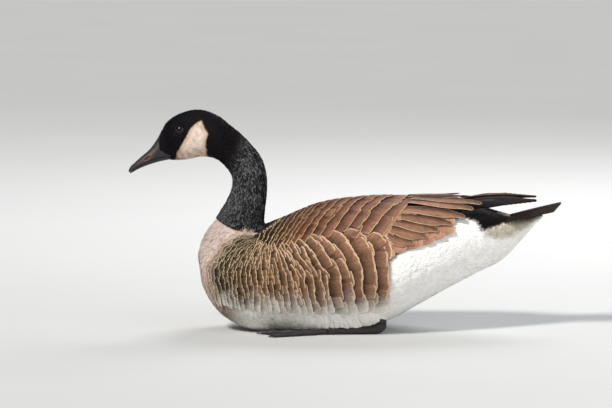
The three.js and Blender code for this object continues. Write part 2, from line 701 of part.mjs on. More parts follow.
// Flank feathers of one side, in staggered tiers.
function flankFeathers(side) {
  const { from, to, pitch, rise, turn } = FLANK_TIERS;
  const { long, wide, thick, lift, tilt } = BODY_VANE;
  const feathers = [];
  for (let i = 0; from + pitch * i <= to; i++) {
    const x = from + pitch * i;
    for (let j = 0; j < 6; j++) {
      const z = 48 + rise * (j + (i % 2) / 2);
      if (z > lineAt(BACK_LINE, x) - 17 || z < lineAt(BELLY_LINE, x) + 16) continue;
      if (x < -110 && z > 92) continue;
      const arc = angleAt(TRUNK, x, z) * SECTION_RADIUS;
      feathers.push({
        place: overHull(TRUNK, side, x + 4 * draw(), arc, turn),
        long: vary(long, 0.06),
        wide: vary(wide, 0.05),
        thick,
        lift,
        tilt: -tilt,
      });
    }
  }
  return feathers;
}

// White feathers of the vent and under the tail, both sides.
function ventFeathers() {
  const { from, to, pitch, long, wide, thick, lift } = UNDERTAIL;
  const feathers = [];
  for (const side of footPlaces) {
    for (let x = 92; x <= to; x += pitch) {
      const row = rowAt(TRUNK, rowOf(TRUNK, x));
      for (const share of x < from ? [0.28, 0.72] : x < from + 40 ? [0.3, 0.75] : [0.5]) {
        const z = row.keel + (row.beam - row.keel) * share;
        const arc = angleAt(TRUNK, x, z) * SECTION_RADIUS;
        const narrow = x < from ? 1 : 0.8;
        feathers.push({
          place: overHull(TRUNK, side, x, arc, 0),
          long: vary(long, 0.05),
          wide: wide * narrow,
          thick,
          lift,
          tilt: -0.07,
        });
      }
    }
  }
  return feathers;
}

// Feathers in a row across the rump or over the tail's root.
function crossRow(x, reach, count, long, wide, lift) {
  return Array.from({ length: count }, (_, k) => {
    const arc = ((k - (count - 1) / 2) * 2 * reach) / Math.max(count - 1, 1);
    const side = arc < 0 ? LEFT : RIGHT;
    return {
      place: overHull(TRUNK, side, x + 0.1 * Math.abs(arc), Math.abs(arc), 0),
      long: vary(long, 0.05),
      wide,
      thick: 1,
      lift,
      tilt: arc === 0 ? 0 : 0.05,
    };
  });
}

const fromBack = backFeathers();
const fromFlank = { [LEFT]: flankFeathers(LEFT), [RIGHT]: flankFeathers(RIGHT) };
const fromWing = { [LEFT]: wingFeathers(LEFT), [RIGHT]: wingFeathers(RIGHT) };
const fromPrimaries = { [LEFT]: primaryFeathers(LEFT), [RIGHT]: primaryFeathers(RIGHT) };
const fromVent = ventFeathers();
const fromRump = RUMP_FEATHERS.flatMap(([x, arc]) =>
  footPlaces.map((side) => {
    const place = overHull(TRUNK, side, x, arc, 0);
    return { place, ...RUMP_VANE, long: vary(RUMP_VANE.long, 0.05) };
  }),
);
const fromTailCoverts = [
  ...crossRow(187, 20, 4, 30, 19, [-2, 5.8]),
  ...crossRow(196, 16, 4, 36, 17, [-2.6, 8.8]),
];

// Trunk, parted by blades into named regions
const partings = [BREAST_LINE, BACK_LINE, BELLY_LINE, VENT_LINE, RUMP_LINE, COVERT_LINE];
const trunkAndNeck = wholeTrunk()
  .add(wholeNeck())
  .subtract(floorCut)
  .subtract(footGaps)
  .subtract(tailBase(GAP))
  .subtract(union(footPlaces.flatMap((side) => [wingSheet(side, GAP, 8), primaryBase(side, GAP)])));
const neckBase = trunkAndNeck.intersect(collarCut(-GAP / 2));
const trunk = trunkAndNeck
  .subtract(collarCut(GAP / 2))
  .subtract(union(partings.map((line) => blade(line))))
  .decompose();
const flanks = holding(trunk, 0, 0, 80);
const midline = solid(new THREE.BoxGeometry(400, GAP, 400));
const flankHalves = flanks.subtract(midline).decompose();

// A node with its feathers, clear of the feathers that lie over it.
function feathered(base, feathers, above = []) {
  const whole = union([base, ...vanes(feathers)]);
  return above.length ? largest(whole.subtract(union(vanes(above, GAP)))) : largest(whole);
}
const bothSides = (lists) => [...lists[LEFT], ...lists[RIGHT]];
const back = feathered(holding(trunk, 0, 0, 155), fromBack);
const flank = {};
const wings = {};
const primaries = {};
for (const side of footPlaces) {
  flank[side] = feathered(holding(flankHalves, 0, side * 50, 80), fromFlank[side]);
  wings[side] = feathered(wingSheet(side), fromWing[side]);
}
primaries[RIGHT] = feathered(primaryBase(RIGHT), fromPrimaries[RIGHT], bothSides(fromWing));
const overLeft = [...bothSides(fromWing), ...fromPrimaries[RIGHT]];
primaries[LEFT] = feathered(primaryBase(LEFT), fromPrimaries[LEFT], overLeft);
const tail = feathered(tailBase(), rectrices);
const vent = feathered(holding(trunk, 110, 0, 100), fromVent);
const rump = feathered(holding(trunk, 150, 0, 158), fromRump);
const tailCoverts = feathered(holding(trunk, 205, 0, 150), fromTailCoverts);

// Head
const headBody = (lift) => neckBody(0, NECK_BREAKS[0] - NECK_SEAM, 10, 18, lift);
const strap = sideSlab(smoothRound(STRAP, 0)).intersect(headBody(0)).subtract(headBody(-STRAP_DEEP));
const strapRoom = sideSlab(smoothRound(STRAP, GAP)).subtract(headBody(-STRAP_DEEP - GAP));

const eyeBall = (side, pad = 0) => {
  const globe = new THREE.SphereGeometry(EYE.radius + pad, 12, 8).rotateX(Math.PI / 2);
  return solid(globe.translate(EYE.x, side * EYE.off, EYE.z));
};
const lid = (side) =>
  solid(
    new THREE.TorusGeometry(LID.radius, LID.tube, 5, 14)
      .rotateX(Math.PI / 2)
      .rotateZ(side * -0.1)
      .translate(EYE.x, side * LID.off, EYE.z),
  );

const billSpot = (along, above, y) => {
  const drop = (BILL_DROP * Math.PI) / 180;
  return new THREE.Vector3(
    BILL_BASE.x - along * Math.cos(drop) - above * Math.sin(drop),
    y,
    BILL_BASE.z - along * Math.sin(drop) + above * Math.cos(drop),
  );
};

function billBody(narrower) {
  const [steps, sides] = [11, 16];
  return loft(
    Array.from({ length: steps + 1 }, (_, k) => {
      const row = rowAt(BILL, (k / steps) * (BILL.length - 1));
      const middle = (row.culmen + row.chin) / 2;
      const half = (row.culmen - row.chin) / 2;
      return Array.from({ length: sides }, (_, j) => {
        const angle = (2 * Math.PI * j) / sides;
        const wide = row.half * narrower * Math.sign(Math.sin(angle)) * Math.abs(Math.sin(angle)) ** 0.8;
        return billSpot(row.along, middle + half * Math.cos(angle), wide);
      });
    }),
  );
}

function mouthSide(way) {
  const line = MOUTH.map(({ along, above }) => billSpot(along, above + (way * MOUTH_GAP) / 2, 0));
  const far = [...line].reverse().map((p) => [p.x, p.z + way * 120]);
  return sideSlab([...line.map((p) => [p.x, p.z]), ...far]);
}

const nostrils = union(
  footPlaces.map((side) => {
    const at = billSpot(NOSTRIL.along, NOSTRIL.above, side * 11);
    const dent = new THREE.SphereGeometry(1, 8, 6).scale(NOSTRIL.long / 2, NOSTRIL.deep, NOSTRIL.tall / 2);
    return solid(dent.rotateY((-BILL_DROP * Math.PI) / 180).translate(at.x, at.y, at.z));
  }),
);

const headRoom = headBody(GAP);
const billUpper = billBody(1).intersect(mouthSide(1)).subtract(headRoom).subtract(nostrils);
const billLower = billBody(LOWER_BILL_NARROWER).intersect(mouthSide(-1)).subtract(headRoom);
const head = headBody(0)
  .add(union(footPlaces.map(lid)))
  .subtract(strapRoom)
  .subtract(union(footPlaces.map((side) => eyeBall(side, GAP))));

const neckLength = (k) => neckBody(NECK_BREAKS[k] + NECK_SEAM, NECK_BREAKS[k + 1] - NECK_SEAM, 6, 18);

// The model
const goose = new THREE.Group();

function show(name, made, material) {
  const mesh = largest(made).getMesh();
  const geometry = new THREE.BufferGeometry();
  const points = new Float32Array(mesh.numVert * 3);
  for (let i = 0; i < mesh.numVert; i++) {
    points.set(mesh.vertProperties.subarray(i * mesh.numProp, i * mesh.numProp + 3), i * 3);
  }
  geometry.setAttribute("position", new THREE.BufferAttribute(points, 3));
  geometry.setIndex(new THREE.BufferAttribute(mesh.triVerts, 1));
  const node = new THREE.Mesh(geometry, material);
  node.name = name;
  goose.add(node);
}

show("head", head, BLACK_PLUMAGE);
show("cheek_strap", strap, WHITE_PLUMAGE);
show("bill_upper", billUpper, BILL_HORN);
show("bill_lower", billLower, BILL_HORN);
show("neck_upper", neckLength(0), BLACK_PLUMAGE);
show("neck_middle", neckLength(1), BLACK_PLUMAGE);
show("neck_lower", neckBase, BLACK_PLUMAGE);
show("breast", holding(trunk, -165, 0, 80), BREAST_PLUMAGE);
show("back", back, BROWN_PLUMAGE);
show("belly", holding(trunk, 0, 0, 15), WHITE_PLUMAGE);
show("vent", vent, WHITE_PLUMAGE);
show("rump", rump, BLACK_PLUMAGE);
show("upper_tail_coverts", tailCoverts, WHITE_PLUMAGE);
show("tail", tail, TAIL_PLUMAGE);
for (const side of footPlaces) {
  const name = side === LEFT ? "left" : "right";
  show("eye_" + name, eyeBall(side), EYE_SURFACE);
  show("flank_" + name, flank[side], FLANK_PLUMAGE);
  show("wing_" + name, wings[side], WING_PLUMAGE);
  show("primaries_" + name, primaries[side], TAIL_PLUMAGE);
  show("foot_" + name, feet[side], WEB_SKIN);
  const bare = shank(side).subtract(foot(side, GAP)).subtract(wholeTrunk(GAP));
  show("leg_" + name, bare.subtract(floorCut), WEB_SKIN);
}

export default goose;
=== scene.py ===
"""A life-size Canada goose resting on its belly: one skin, under a coat of separate feathers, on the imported
frame."""

import functools
import math

import bmesh
import bpy
import numpy as np
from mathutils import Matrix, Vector


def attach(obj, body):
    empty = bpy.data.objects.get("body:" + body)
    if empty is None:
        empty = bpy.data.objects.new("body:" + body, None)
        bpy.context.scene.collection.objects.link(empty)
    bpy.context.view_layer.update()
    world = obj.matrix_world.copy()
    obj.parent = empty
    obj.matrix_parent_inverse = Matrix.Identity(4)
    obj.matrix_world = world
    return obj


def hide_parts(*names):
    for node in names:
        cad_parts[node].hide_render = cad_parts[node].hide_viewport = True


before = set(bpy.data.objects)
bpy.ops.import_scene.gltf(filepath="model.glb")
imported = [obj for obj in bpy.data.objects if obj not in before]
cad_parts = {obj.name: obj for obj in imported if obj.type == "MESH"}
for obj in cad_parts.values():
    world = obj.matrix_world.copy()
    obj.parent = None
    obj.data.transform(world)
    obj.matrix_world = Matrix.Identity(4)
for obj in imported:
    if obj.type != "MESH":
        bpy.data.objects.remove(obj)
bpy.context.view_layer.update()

MM = 0.001
LEFT, RIGHT = -1, 1
SIDES = ((LEFT, "left"), (RIGHT, "right"))
rng = np.random.default_rng(20)

# Shape tables in mm. The bird faces -X, its left side is -Y, and it rests on z = 0.
# Trunk: place along the bird, back, keel, half width, and the level of greatest width.
TRUNK = np.array([
    [-191, 97, 93, 2, 95], [-189, 110, 72, 26, 93], [-180, 120, 45, 47, 90], [-160, 126, 19, 66, 88],
    [-125, 129, 0, 83, 87], [-85, 143, -3, 93, 87], [-35, 163, -4, 98, 88], [15, 171, -2, 98, 90],
    [60, 173, 14, 93, 94], [100, 170, 36, 84, 103], [140, 166, 58, 69, 114], [175, 161, 76, 51, 124],
    [203, 153, 90, 36, 131], [228, 147, 115, 23, 137], [248, 148, 138, 11, 144], [258, 149, 147, 2, 148],
], float)
# The folded wing over it, in the same way.
WING = np.array([
    [20, 166, 3, 92.5, 90], [40, 169.4, 9, 92.8, 92], [60, 172.6, 15, 92.8, 95], [95, 174, 36, 87.5, 102],
    [125, 173.5, 50, 79, 110], [150, 174, 63, 68, 117], [178, 174.5, 80, 53, 126], [215, 175, 110, 34, 140],
], float)
# Head and neck: upper edge x, z, lower edge x, z in the side view, and half width.
NECK = np.array([
    [-240.5, 256, -229, 221, 11.5], [-231, 271, -219.5, 220.7, 16.5], [-219, 279.5, -210, 221.2, 19.5],
    [-205, 285, -200, 222.6, 21.3], [-189.5, 286.9, -190, 225.2, 21.8], [-175, 283.6, -179, 225.1, 21],
    [-161.5, 276.6, -169.5, 223, 20], [-148, 265.4, -161.5, 218.6, 19.5], [-134.5, 254.5, -155.5, 212.5, 19.6],
    [-121, 240.5, -150.3, 206.3, 19.8], [-110, 226.5, -147, 199.5, 20.2], [-103.5, 210.5, -146.2, 192.5, 20.8],
    [-101.2, 193.5, -147.1, 185, 21.6], [-101.6, 177.5, -150.5, 175.5, 23], [-103, 163.5, -155.7, 164.8, 25.5],
    [-104.3, 150.5, -161.8, 155.2, 29], [-105.6, 136.5, -168.5, 145, 34.5], [-109, 122, -175.5, 134.7, 41],
    [-114, 108, -182, 126, 48], [-120, 92, -186, 115, 55],
], float)
CROWN_NARROWING = 0.14
# A section of the trunk is drawn by sine and cosine to this power, which makes it fuller than an ellipse; its
# field sums y and z to the other power, near 2 / SECTION_POWER.
SECTION_POWER = 0.94
SECTION_FIELD_POWER = 2.13
# x, z and radius of the arc in the side view where the black of the neck ends.
COLLAR = (-114.4, 210.4, 84.1)
# Outline of the white strap in the side view: x, z.
STRAP = np.array([
    [-187.5, 273.5], [-199.5, 264], [-204, 256], [-209, 247], [-214.5, 236.5], [-218.5, 228.5], [-217, 214],
    [-181, 214], [-180, 233], [-180.6, 246], [-178, 256.5], [-180.6, 261.5], [-184.5, 269.5],
], float)
EYE = np.array([-214.5, 17.5, 262.6])  # where the eye's axis leaves the right side of the head
EYE_RADIUS = 6.2
EYE_PROUD = 1.9  # mm that the globe stands out of the head
EYELID = {"middle": 5.55, "half": 0.95, "height": 3.75, "thick": 0.75}
EYE_SOCKET = {"deep": 4.0, "edge": (5.2, 8.2)}  # the edge's inner and outer radius
FLOOR_GAP = {"feathers": 0.4, "skin": 1.6, "feet": 0.05}  # the lowest level of each
ROOT_DEPTH = -2.4  # height over the body's surface at which the roots of its larger feathers lie
# Shapes of small feathers, as spread takes them.
ROUND_TUFT, FEATHER, BELLY_FEATHER = (0.7, 0.7, 2.0), (0.5, 0.7, 2.0), (0.6, 0.8, 2.0)


def spline(table, u):
    """The rows of a table at fractional row numbers u, by Catmull-Rom curves through the rows."""
    u = np.clip(np.asarray(u, float), 0, len(table) - 1)
    k = np.minimum(u.astype(int), len(table) - 2)
    t = (u - k)[..., None]
    a, b, c, d = (table[np.clip(k + i, 0, len(table) - 1)] for i in (-1, 0, 1, 2))
    return 0.5 * (2 * b + (c - a) * t + (2 * a - 5 * b + 4 * c - d) * t**2 + (3 * b - a - 3 * c + d) * t**3)


def power(value, exponent):
    """A number's size to a power, with the number's own sign."""
    return np.sign(value) * np.abs(value) ** exponent


def smooth(value, low, high):
    """0 below low and 1 above high. Between them it is 3 t squared less 2 t cubed, where t is the share of
    the way."""
    t = np.clip((value - low) / (high - low), 0, 1)
    return t * t * (3 - 2 * t)


def unit(vectors):
    """Vectors made one long."""
    return vectors / np.maximum(np.linalg.norm(vectors, axis=-1, keepdims=True), 1e-9)


def stray(ways, amount):
    """Directions, each turned a little at random."""
    return unit(ways + rng.normal(0, amount, ways.shape))


def run_along(points):
    """How far along a line of points each of them lies from the first."""
    return np.concatenate([[0], np.cumsum(np.linalg.norm(np.diff(points, axis=0), axis=1))])


def bowed(a, b, c, t):
    """From a to c by way of b: (1 - t) squared times a, 2 t (1 - t) times b, and t squared times c."""
    return (1 - t) ** 2 * a + 2 * t * (1 - t) * b + t**2 * c


def section(table, x):
    """Back, keel, half width and widest level of a trunk-like body at places along it, from the spline
    through its table."""
    dense = spline(table, np.linspace(0, len(table) - 1, 900))
    return [np.interp(x, dense[:, 0], dense[:, k]) for k in (1, 2, 3, 4)]


def hull(table, x, angle):
    """Points of a trunk-like body. From the widest level, z goes up to the back or down to the keel by the
    cosine of the angle, and y is the half width times its sine, both to SECTION_POWER. Angle 0 is the back, a
    quarter turn the widest level, half a turn the keel."""
    top, keel, half, beam = section(table, x)
    c = np.cos(angle)
    rise = np.where(c > 0, top - beam, beam - keel)
    y = np.maximum(half, 0.5) * power(np.sin(angle), SECTION_POWER)
    return np.stack([x + 0 * angle, y, beam + rise * power(c, SECTION_POWER)], -1)


def angle_at(table, x, z):
    """The angle at which a trunk-like body has a height, by the hull's formula turned round."""
    top, keel, half, beam = section(table, x)
    up = z - beam
    return np.arccos(np.clip(power(up / np.where(up > 0, top - beam, beam - keel), 1 / SECTION_POWER), -1, 1))


def narrowing(u):
    """How much narrower the crown is than the throat at rows of the head and neck, as a share of the half
    width."""
    return CROWN_NARROWING * np.clip(u / 1.5, 0, 1) * np.clip((8 - u) / 3, 0, 1)


def neck(u, angle):
    """Points of the head and neck: the middle between its edges plus half the chord times the cosine of the
    angle, with y as the half width times the sine. Angle 0 is the upper edge, half a turn the lower edge."""
    row = spline(NECK, u)
    c = np.cos(angle)
    x = (row[..., 0] + row[..., 2]) / 2 + (row[..., 0] - row[..., 2]) / 2 * c
    z = (row[..., 1] + row[..., 3]) / 2 + (row[..., 1] - row[..., 3]) / 2 * c
    return np.stack([x, row[..., 4] * np.sin(angle) * (1 - narrowing(u) * c), z], -1)


# The body as a field: the distance from its outer surface in mm, kept on a grid and read between the grid's
# points.
STEP = 4.0
LOW = np.array([-264.0, -8.0, -24.0])
COUNT = np.array([142, 32, 84])
WING_FILLET, NECK_FILLET = 6.0, 7.0


def trunk_distance(p, table):
    """How far points lie outside a trunk-like body, along the line from its middle at their place along the
    bird. How many times as far out as the surface a point is comes from a sum of powers: y over the half
    width, and z from the widest level over the height there."""
    x = np.clip(p[:, 0], table[0, 0], table[-1, 0])
    top, keel, half, beam = section(table, x)
    up = p[:, 2] - beam
    rise = np.where(up > 0, top - beam, beam - keel)
    n = SECTION_FIELD_POWER
    out = (np.abs(p[:, 1] / np.maximum(half, 0.5)) ** n + np.abs(up / rise) ** n) ** (1 / n)
    radial = np.hypot(p[:, 1], up)
    within = np.where(out > 1e-3, radial * (1 - 1 / np.maximum(out, 1e-3)), -np.minimum(half, rise))
    beyond = np.abs(p[:, 0] - x)
    return np.where(beyond > 0, np.hypot(np.maximum(within, 0), beyond), within)


def neck_place(p):
    """The row of the head and neck nearest to points, their distance off its plane, their place along its
    chord as a share of half of it, and that half."""
    u = np.linspace(0, len(NECK) - 1, 170)
    row = spline(NECK, u)
    middle = (row[:, 0:2] + row[:, 2:4]) / 2
    chord = (row[:, 0:2] - row[:, 2:4]) / 2
    deep = np.linalg.norm(chord, axis=1)
    chord = chord / deep[:, None]
    found = []
    for q in np.array_split(p, max(1, len(p) // 20000)):
        dx, dz = q[:, 0:1] - middle[:, 0], q[:, 2:3] - middle[:, 1]
        off = np.abs(dx * chord[:, 1] - dz * chord[:, 0])
        share = (dx * chord[:, 0] + dz * chord[:, 1]) / deep
        best = np.argmin(off + 40 * np.maximum(np.abs(share) - 1.5, 0), axis=1)
        line = np.arange(len(q))
        found.append(np.stack([u[best], off[line, best], share[line, best], deep[best]], -1))
    return np.concatenate(found)


def neck_distance(p):
    """How far points lie outside the head and neck, from the ellipse of the section that is nearest along
    them."""
    u, off, share, deep = neck_place(p).T
    wide = spline(NECK, u)[:, 4] * (1 - narrowing(u) * np.clip(share, -1, 1))
    out = np.sqrt(share**2 + (p[:, 1] / wide) ** 2)
    within = np.hypot(share * deep, p[:, 1]) * (1 - 1 / np.maximum(out, 1e-3))
    within = np.where(out > 1e-3, within, -20)
    end = ((u <= 0) | (u >= len(NECK) - 1)) & (off > 0.8)
    return np.where(end, np.hypot(np.maximum(within, 0), off), within)


def joined(a, b, width):
    """The smaller of two distances, less a quarter of the width times the square of how near the two are to
    each other, which makes a fillet where the bodies meet."""
    h = np.maximum(width - np.abs(a - b), 0) / width
    return np.minimum(a, b) - h * h * width / 4


def make_field(winged):
    """Distance and its slope on the grid. Only the bird's right half is kept, as both sides are alike."""
    axes = [LOW[k] + STEP * np.arange(COUNT[k]) for k in range(3)]
    p = np.stack(np.meshgrid(*axes, indexing="ij"), -1).reshape(-1, 3)
    distance = trunk_distance(p, TRUNK)
    if winged:
        near = p[:, 0] > 10
        distance[near] = joined(distance[near], trunk_distance(p[near], WING), WING_FILLET)
    near = (p[:, 0] < -70) & (p[:, 2] > 70)
    distance[near] = joined(distance[near], neck_distance(p[near]), NECK_FILLET)
    distance = distance.reshape(COUNT)
    slope = np.stack(np.gradient(distance, STEP), -1)
    size = np.linalg.norm(slope, axis=-1)[..., None]
    return np.concatenate([distance[..., None] / np.maximum(size, 0.3), slope / np.maximum(size, 1e-6)], -1)


BODY = make_field(False)
WINGED = make_field(True)


def near_body(field, p):
    """Distance outside a field's surface, and outward normal, of points of any array shape: a mean of the
    eight grid points round each, the nearer ones counting more."""
    flat = p.reshape(-1, 3)
    q = (np.stack([flat[:, 0], np.abs(flat[:, 1]), flat[:, 2]], -1) - LOW) / STEP
    q = np.clip(q, 0, COUNT - 1.001)
    i = q.astype(int)
    f = q - i
    found = np.zeros((len(q), 4))
    for corner in range(8):
        o = np.array([corner >> 2 & 1, corner >> 1 & 1, corner & 1])
        weight = np.prod(np.where(o, f, 1 - f), axis=1)
        found += weight[:, None] * field[i[:, 0] + o[0], i[:, 1] + o[1], i[:, 2] + o[2]]
    normal = found[:, 1:]
    normal[:, 1] *= np.where(flat[:, 1] < 0, -1, 1)
    return found[:, 0].reshape(p.shape[:-1]), unit(normal).reshape(p.shape)


def onto(field, p, height=0.0, rounds=2):
    """Points moved along the normal to a height over a field's surface, and the normals there."""
    for _ in range(rounds):
        distance, normal = near_body(field, p)
        p = p - normal * (distance - height)[..., None]
    return p, normal


# Colours, sRGB in hex and used as linear light.
def linear(code):
    """An sRGB hex colour as linear red, green and blue."""
    c = np.array([int(code[k : k + 2], 16) for k in (0, 2, 4)]) / 255
    return np.where(c <= 0.04045, c / 12.92, ((c + 0.055) / 1.055) ** 2.4)


def rgba(code):
    """An sRGB hex colour as a linear node colour."""
    return (*linear(code), 1.0)


NECK_BLACK = linear("1c1c1f")
HEAD_BLACK = linear("0c0b10")
NECK_GLINT_GREY = linear("a3a4a8")
NECK_PAINTED_SHEEN = linear("5a5c60")
CHEEK = linear("ecdccd")
CHEEK_STAIN = linear("b98a62")
BREAST = linear("c9b8b0")
BREAST_LOW = linear("b49c88")
SIDE_LIGHT = linear("857560")
SIDE_OLIVE = linear("43392c")
SIDE_LINE = linear("cdbd9a")
FLANK = linear("8c6650")
FLANK_MIDDLE = linear("75573f")
FLANK_TIP = linear("c9ad90")
BACK_DARK = linear("33201a")
BACK_BROWN = linear("764d3b")
BACK_REAR = linear("8e6655")
BACK_TIP = linear("b8996f")
BACK_LINE = linear("d8c294")
COVERT = linear("b6896f")
COVERT_TIP = linear("c3a48a")
TERTIAL = linear("8c6652")
TERTIAL_TOP = linear("604537")
TERTIAL_TIP = linear("c4a988")
WHITE = linear("fbf9f5")
BELLY_WHITE = linear("efece5")
UNDERTAIL_SHADOW = linear("b6b0a0")
VENT_REFLECTED_LIGHT = linear("c9c294")
RUMP_BLACK = linear("0d0a0c")
QUILL_BLACK = linear("0c0808")
QUILL_LIT_BROWN = linear("7a5f51")
TAIL_BROWN = linear("150e0b")
TAIL_EDGE = linear("33251c")
HORN_BLACK = linear("231f20")
HORN_HIGHLIGHT_BROWN = linear("7d5039")
LID_DARK = linear("120e0d")
LID_PALE = linear("33271d")


def between(stops, share):
    """A colour between stops, each a share and a colour, for one share."""
    places = [place for place, _ in stops]
    return np.array([np.interp(share, places, [colour[k] for _, colour in stops]) for k in range(3)])


def mix(a, b, t):
    """Between two colours, or two lists of colours, by a share for each point."""
    return a + (b - a) * np.asarray(t)[..., None]


def wave(p, *lengths):
    """An even, random-looking number from -1 to 1 at points, from crossed sines of the given lengths in mm."""
    found = np.zeros(p.shape[:-1])
    for k, length in enumerate(lengths):
        turn = 1.1 * k
        a = p @ np.array([math.cos(turn) * 0.8, 0.5, math.sin(turn) * 0.8 + 0.2])
        b = p @ np.array([-math.sin(turn), 0.6, math.cos(turn)])
        found += np.sin(2 * math.pi * a / length + 1.9 * np.sin(2 * math.pi * b / (length * 1.37) + k))
    return found / len(lengths)


def outline_gap(p, outline):
    """Distance in mm to a closed outline in the side view, negative inside it."""
    a, b = outline, np.roll(outline, -1, axis=0)
    q = p[:, None, [0, 2]]
    edge = b - a
    t = np.clip(((q - a) * edge).sum(-1) / (edge**2).sum(-1), 0, 1)
    gap = np.linalg.norm(q - a - t[..., None] * edge, axis=-1).min(axis=1)
    crosses = (a[:, 1] > q[..., 1]) != (b[:, 1] > q[..., 1])
    at = a[:, 0] + (q[..., 1] - a[:, 1]) / np.where(edge[:, 1] == 0, 1e-9, edge[:, 1]) * edge[:, 0]
    inside = (crosses & (q[..., 0] < at)).sum(axis=1) % 2 == 1
    return np.where(inside, -gap, gap)


STRAP_LINE = spline(np.concatenate([STRAP[-1:], STRAP, STRAP[:2]]), 1 + np.arange(len(STRAP) * 6) / 6)


def collar_gap(p):
    """Distance in mm below the collar, where the black of the neck ends; negative on the neck and head. The
    collar climbs a little from the midline to the sides."""
    x, z = p[..., 0], p[..., 2] - 0.08 * np.abs(p[..., 1])
    gap = np.hypot(x - COLLAR[0], z - COLLAR[1]) - COLLAR[2]
    gap = np.where(z < 165, np.maximum(gap, x + 99), gap)
    return np.where(z > 200, -20.0, gap)


def flank_front(z):
    """Place along the bird where the barred flank begins behind the plain breast."""
    return np.interp(z, [36, 60, 83, 105, 118, 124, 128], [-168, -175, -180, -170, -155, -140, -120])


def back_line(x):
    """Height of the line between shoulder feathers and flank feathers."""
    return np.interp(x, [-118, -100, -78, -54, -30, 0, 56, 105], [117, 118, 118, 125, 136, 138, 136, 137])


def vent_line(z):
    """Place along the bird where the flank ends and the white of the vent begins."""
    return np.interp(z, [0, 60, 85, 100, 112, 125, 140, 160], [52, 54, 55, 57, 76, 97, 108, 106])


def rump_share(p):
    """How far points belong to the black rump, which has a white crescent across it over the tail's root."""
    x, y, z = p.T
    edge = np.interp(x, [110, 150, 168, 176, 196, 226], [150, 150, 146, 133, 139, 149])
    top = smooth(z - edge + wave(p, 7, 5), -1.5, 1.5) * smooth(x, 108, 114) * (1 - smooth(x, 222, 228))
    arc = x + 0.03 * y**2
    crescent = smooth(arc, 199, 204) * (1 - smooth(arc, 218, 224))
    return top * (1 - crescent * (1 - smooth(np.abs(y), 10, 16)) * smooth(z, 148, 150.5))


def markings(p):
    """The coat's colour at points: black head and neck with a white strap, buff breast, brown sides and back,
    white belly and vent, black rump."""
    x, z = p[:, 0], p[:, 2]
    cloud = wave(p, 23, 11, 37)
    shade = mix(BREAST, BREAST_LOW, smooth(110 - z + 6 * cloud, 0, 60) * 0.8)
    shade = mix(shade, FLANK_MIDDLE, smooth(x - flank_front(z), 4, 12) * smooth(-z, -129, -125))
    shade = mix(shade, BACK_BROWN, smooth(z - back_line(x), -3, 3) * smooth(x, -108, -96))
    shade = mix(shade, BELLY_WHITE, smooth(50 - z + 5 * cloud, 0, 22) * smooth(x, -170, -120))
    shade = mix(shade, WHITE, smooth(x - vent_line(z) + 3 * cloud, -3, 3))
    # Painted shadow: the white under the tail is greyed where the tail shades it.
    under = smooth(z - np.interp(x, [170, 181, 207, 230, 255], [138, 125, 121, 131, 148]) + 2 * cloud, -4, 4)
    shade = mix(shade, UNDERTAIL_SHADOW, under * smooth(x, 172, 186))
    # Painted reflected light: a faint yellow cast on the low rear, near the keel.
    keel = section(TRUNK, x)[1]
    shade = mix(shade, VENT_REFLECTED_LIGHT, 0.15 * smooth(x, 140, 200) * (1 - smooth(z - keel + 5 * cloud, 6, 30)))
    shade = mix(shade, RUMP_BLACK, rump_share(p))
    black = mix(NECK_BLACK, HEAD_BLACK, smooth(z, 200, 245))
    shade = mix(shade, black, 1 - smooth(collar_gap(p) + 0.8 * wave(p, 6, 9), -1, 1))
    stain = smooth(wave(p, 15, 9, 21) + 0.9 * smooth(238 - z, 0, 12), 0.1, 1.2)
    near = (z > 205) & (x < -165)
    gap = np.full(len(p), 50.0)
    gap[near] = outline_gap(p[near], STRAP_LINE) + 0.5 * wave(p[near], 5, 3.4)
    cheek = mix(CHEEK, CHEEK_STAIN, np.clip(0.6 * stain + 0.5 * smooth(gap, -7, 0), 0, 1))
    strap = 1 - smooth(gap, -0.8, 0.8)
    return mix(shade, cheek, strap)


# The unwrap that the coat and the skin share: trunk below, head and neck above. Lowest and highest u, then v.
TRUNK_CHART = (0.02, 0.98, 0.02, 0.60)
NECK_CHART = (0.02, 0.98, 0.66, 0.98)
CHART_START, CHART_LENGTH = -195, 460  # mm along the bird that the trunk's chart spans


def is_neck(p):
    """Whether points belong to the head and neck's chart."""
    return collar_gap(p) < 4


def chart(p, on_neck):
    """Places of points along the unwrap of the body, and the turn round the body that each has."""
    place = neck_place(p)
    row = place[:, 0] / (len(NECK) - 1)
    neck_turn = np.arctan2(p[:, 1] / spline(NECK, place[:, 0])[:, 4], place[:, 2])
    top, keel, half, beam = section(TRUNK, np.clip(p[:, 0], TRUNK[0, 0], TRUNK[-1, 0]))
    rise = np.where(p[:, 2] > beam, top - beam, beam - keel)
    trunk_turn = np.arctan2(p[:, 1] / half, (p[:, 2] - beam) / rise)
    along = np.where(on_neck, row, (p[:, 0] - CHART_START) / CHART_LENGTH)
    return along, np.where(on_neck, neck_turn, trunk_turn)


def chart_uv(along, turn, on_neck):
    """Chart places as UVs."""
    a, b, c, d = np.where(on_neck[:, None], NECK_CHART, TRUNK_CHART).T
    return np.stack([a + (b - a) * np.clip(along, 0, 1), c + (d - c) * (turn / (2 * math.pi) + 0.5)], -1)


# Feathers: spines led over the body or straight, then vanes spread across them.
def walk(field, root, heading, length, rows):
    """Spines led over a surface: points, normals and directions at rows + 1 stations from root to tip. Each
    step keeps the last direction, less what of it points out of the surface."""
    step = (np.broadcast_to(length, len(root)) / rows)[:, None]
    p, normal = onto(field, root)
    spine, normals, ways = [], [], []
    way = heading
    for _ in range(rows + 1):
        way = unit(way - normal * (way * normal).sum(1, keepdims=True))
        spine.append(p)
        normals.append(normal)
        ways.append(way)
        p, normal = onto(field, p + way * step, 0.0, 1)
    return np.stack(spine, 1), np.stack(normals, 1), np.stack(ways, 1)


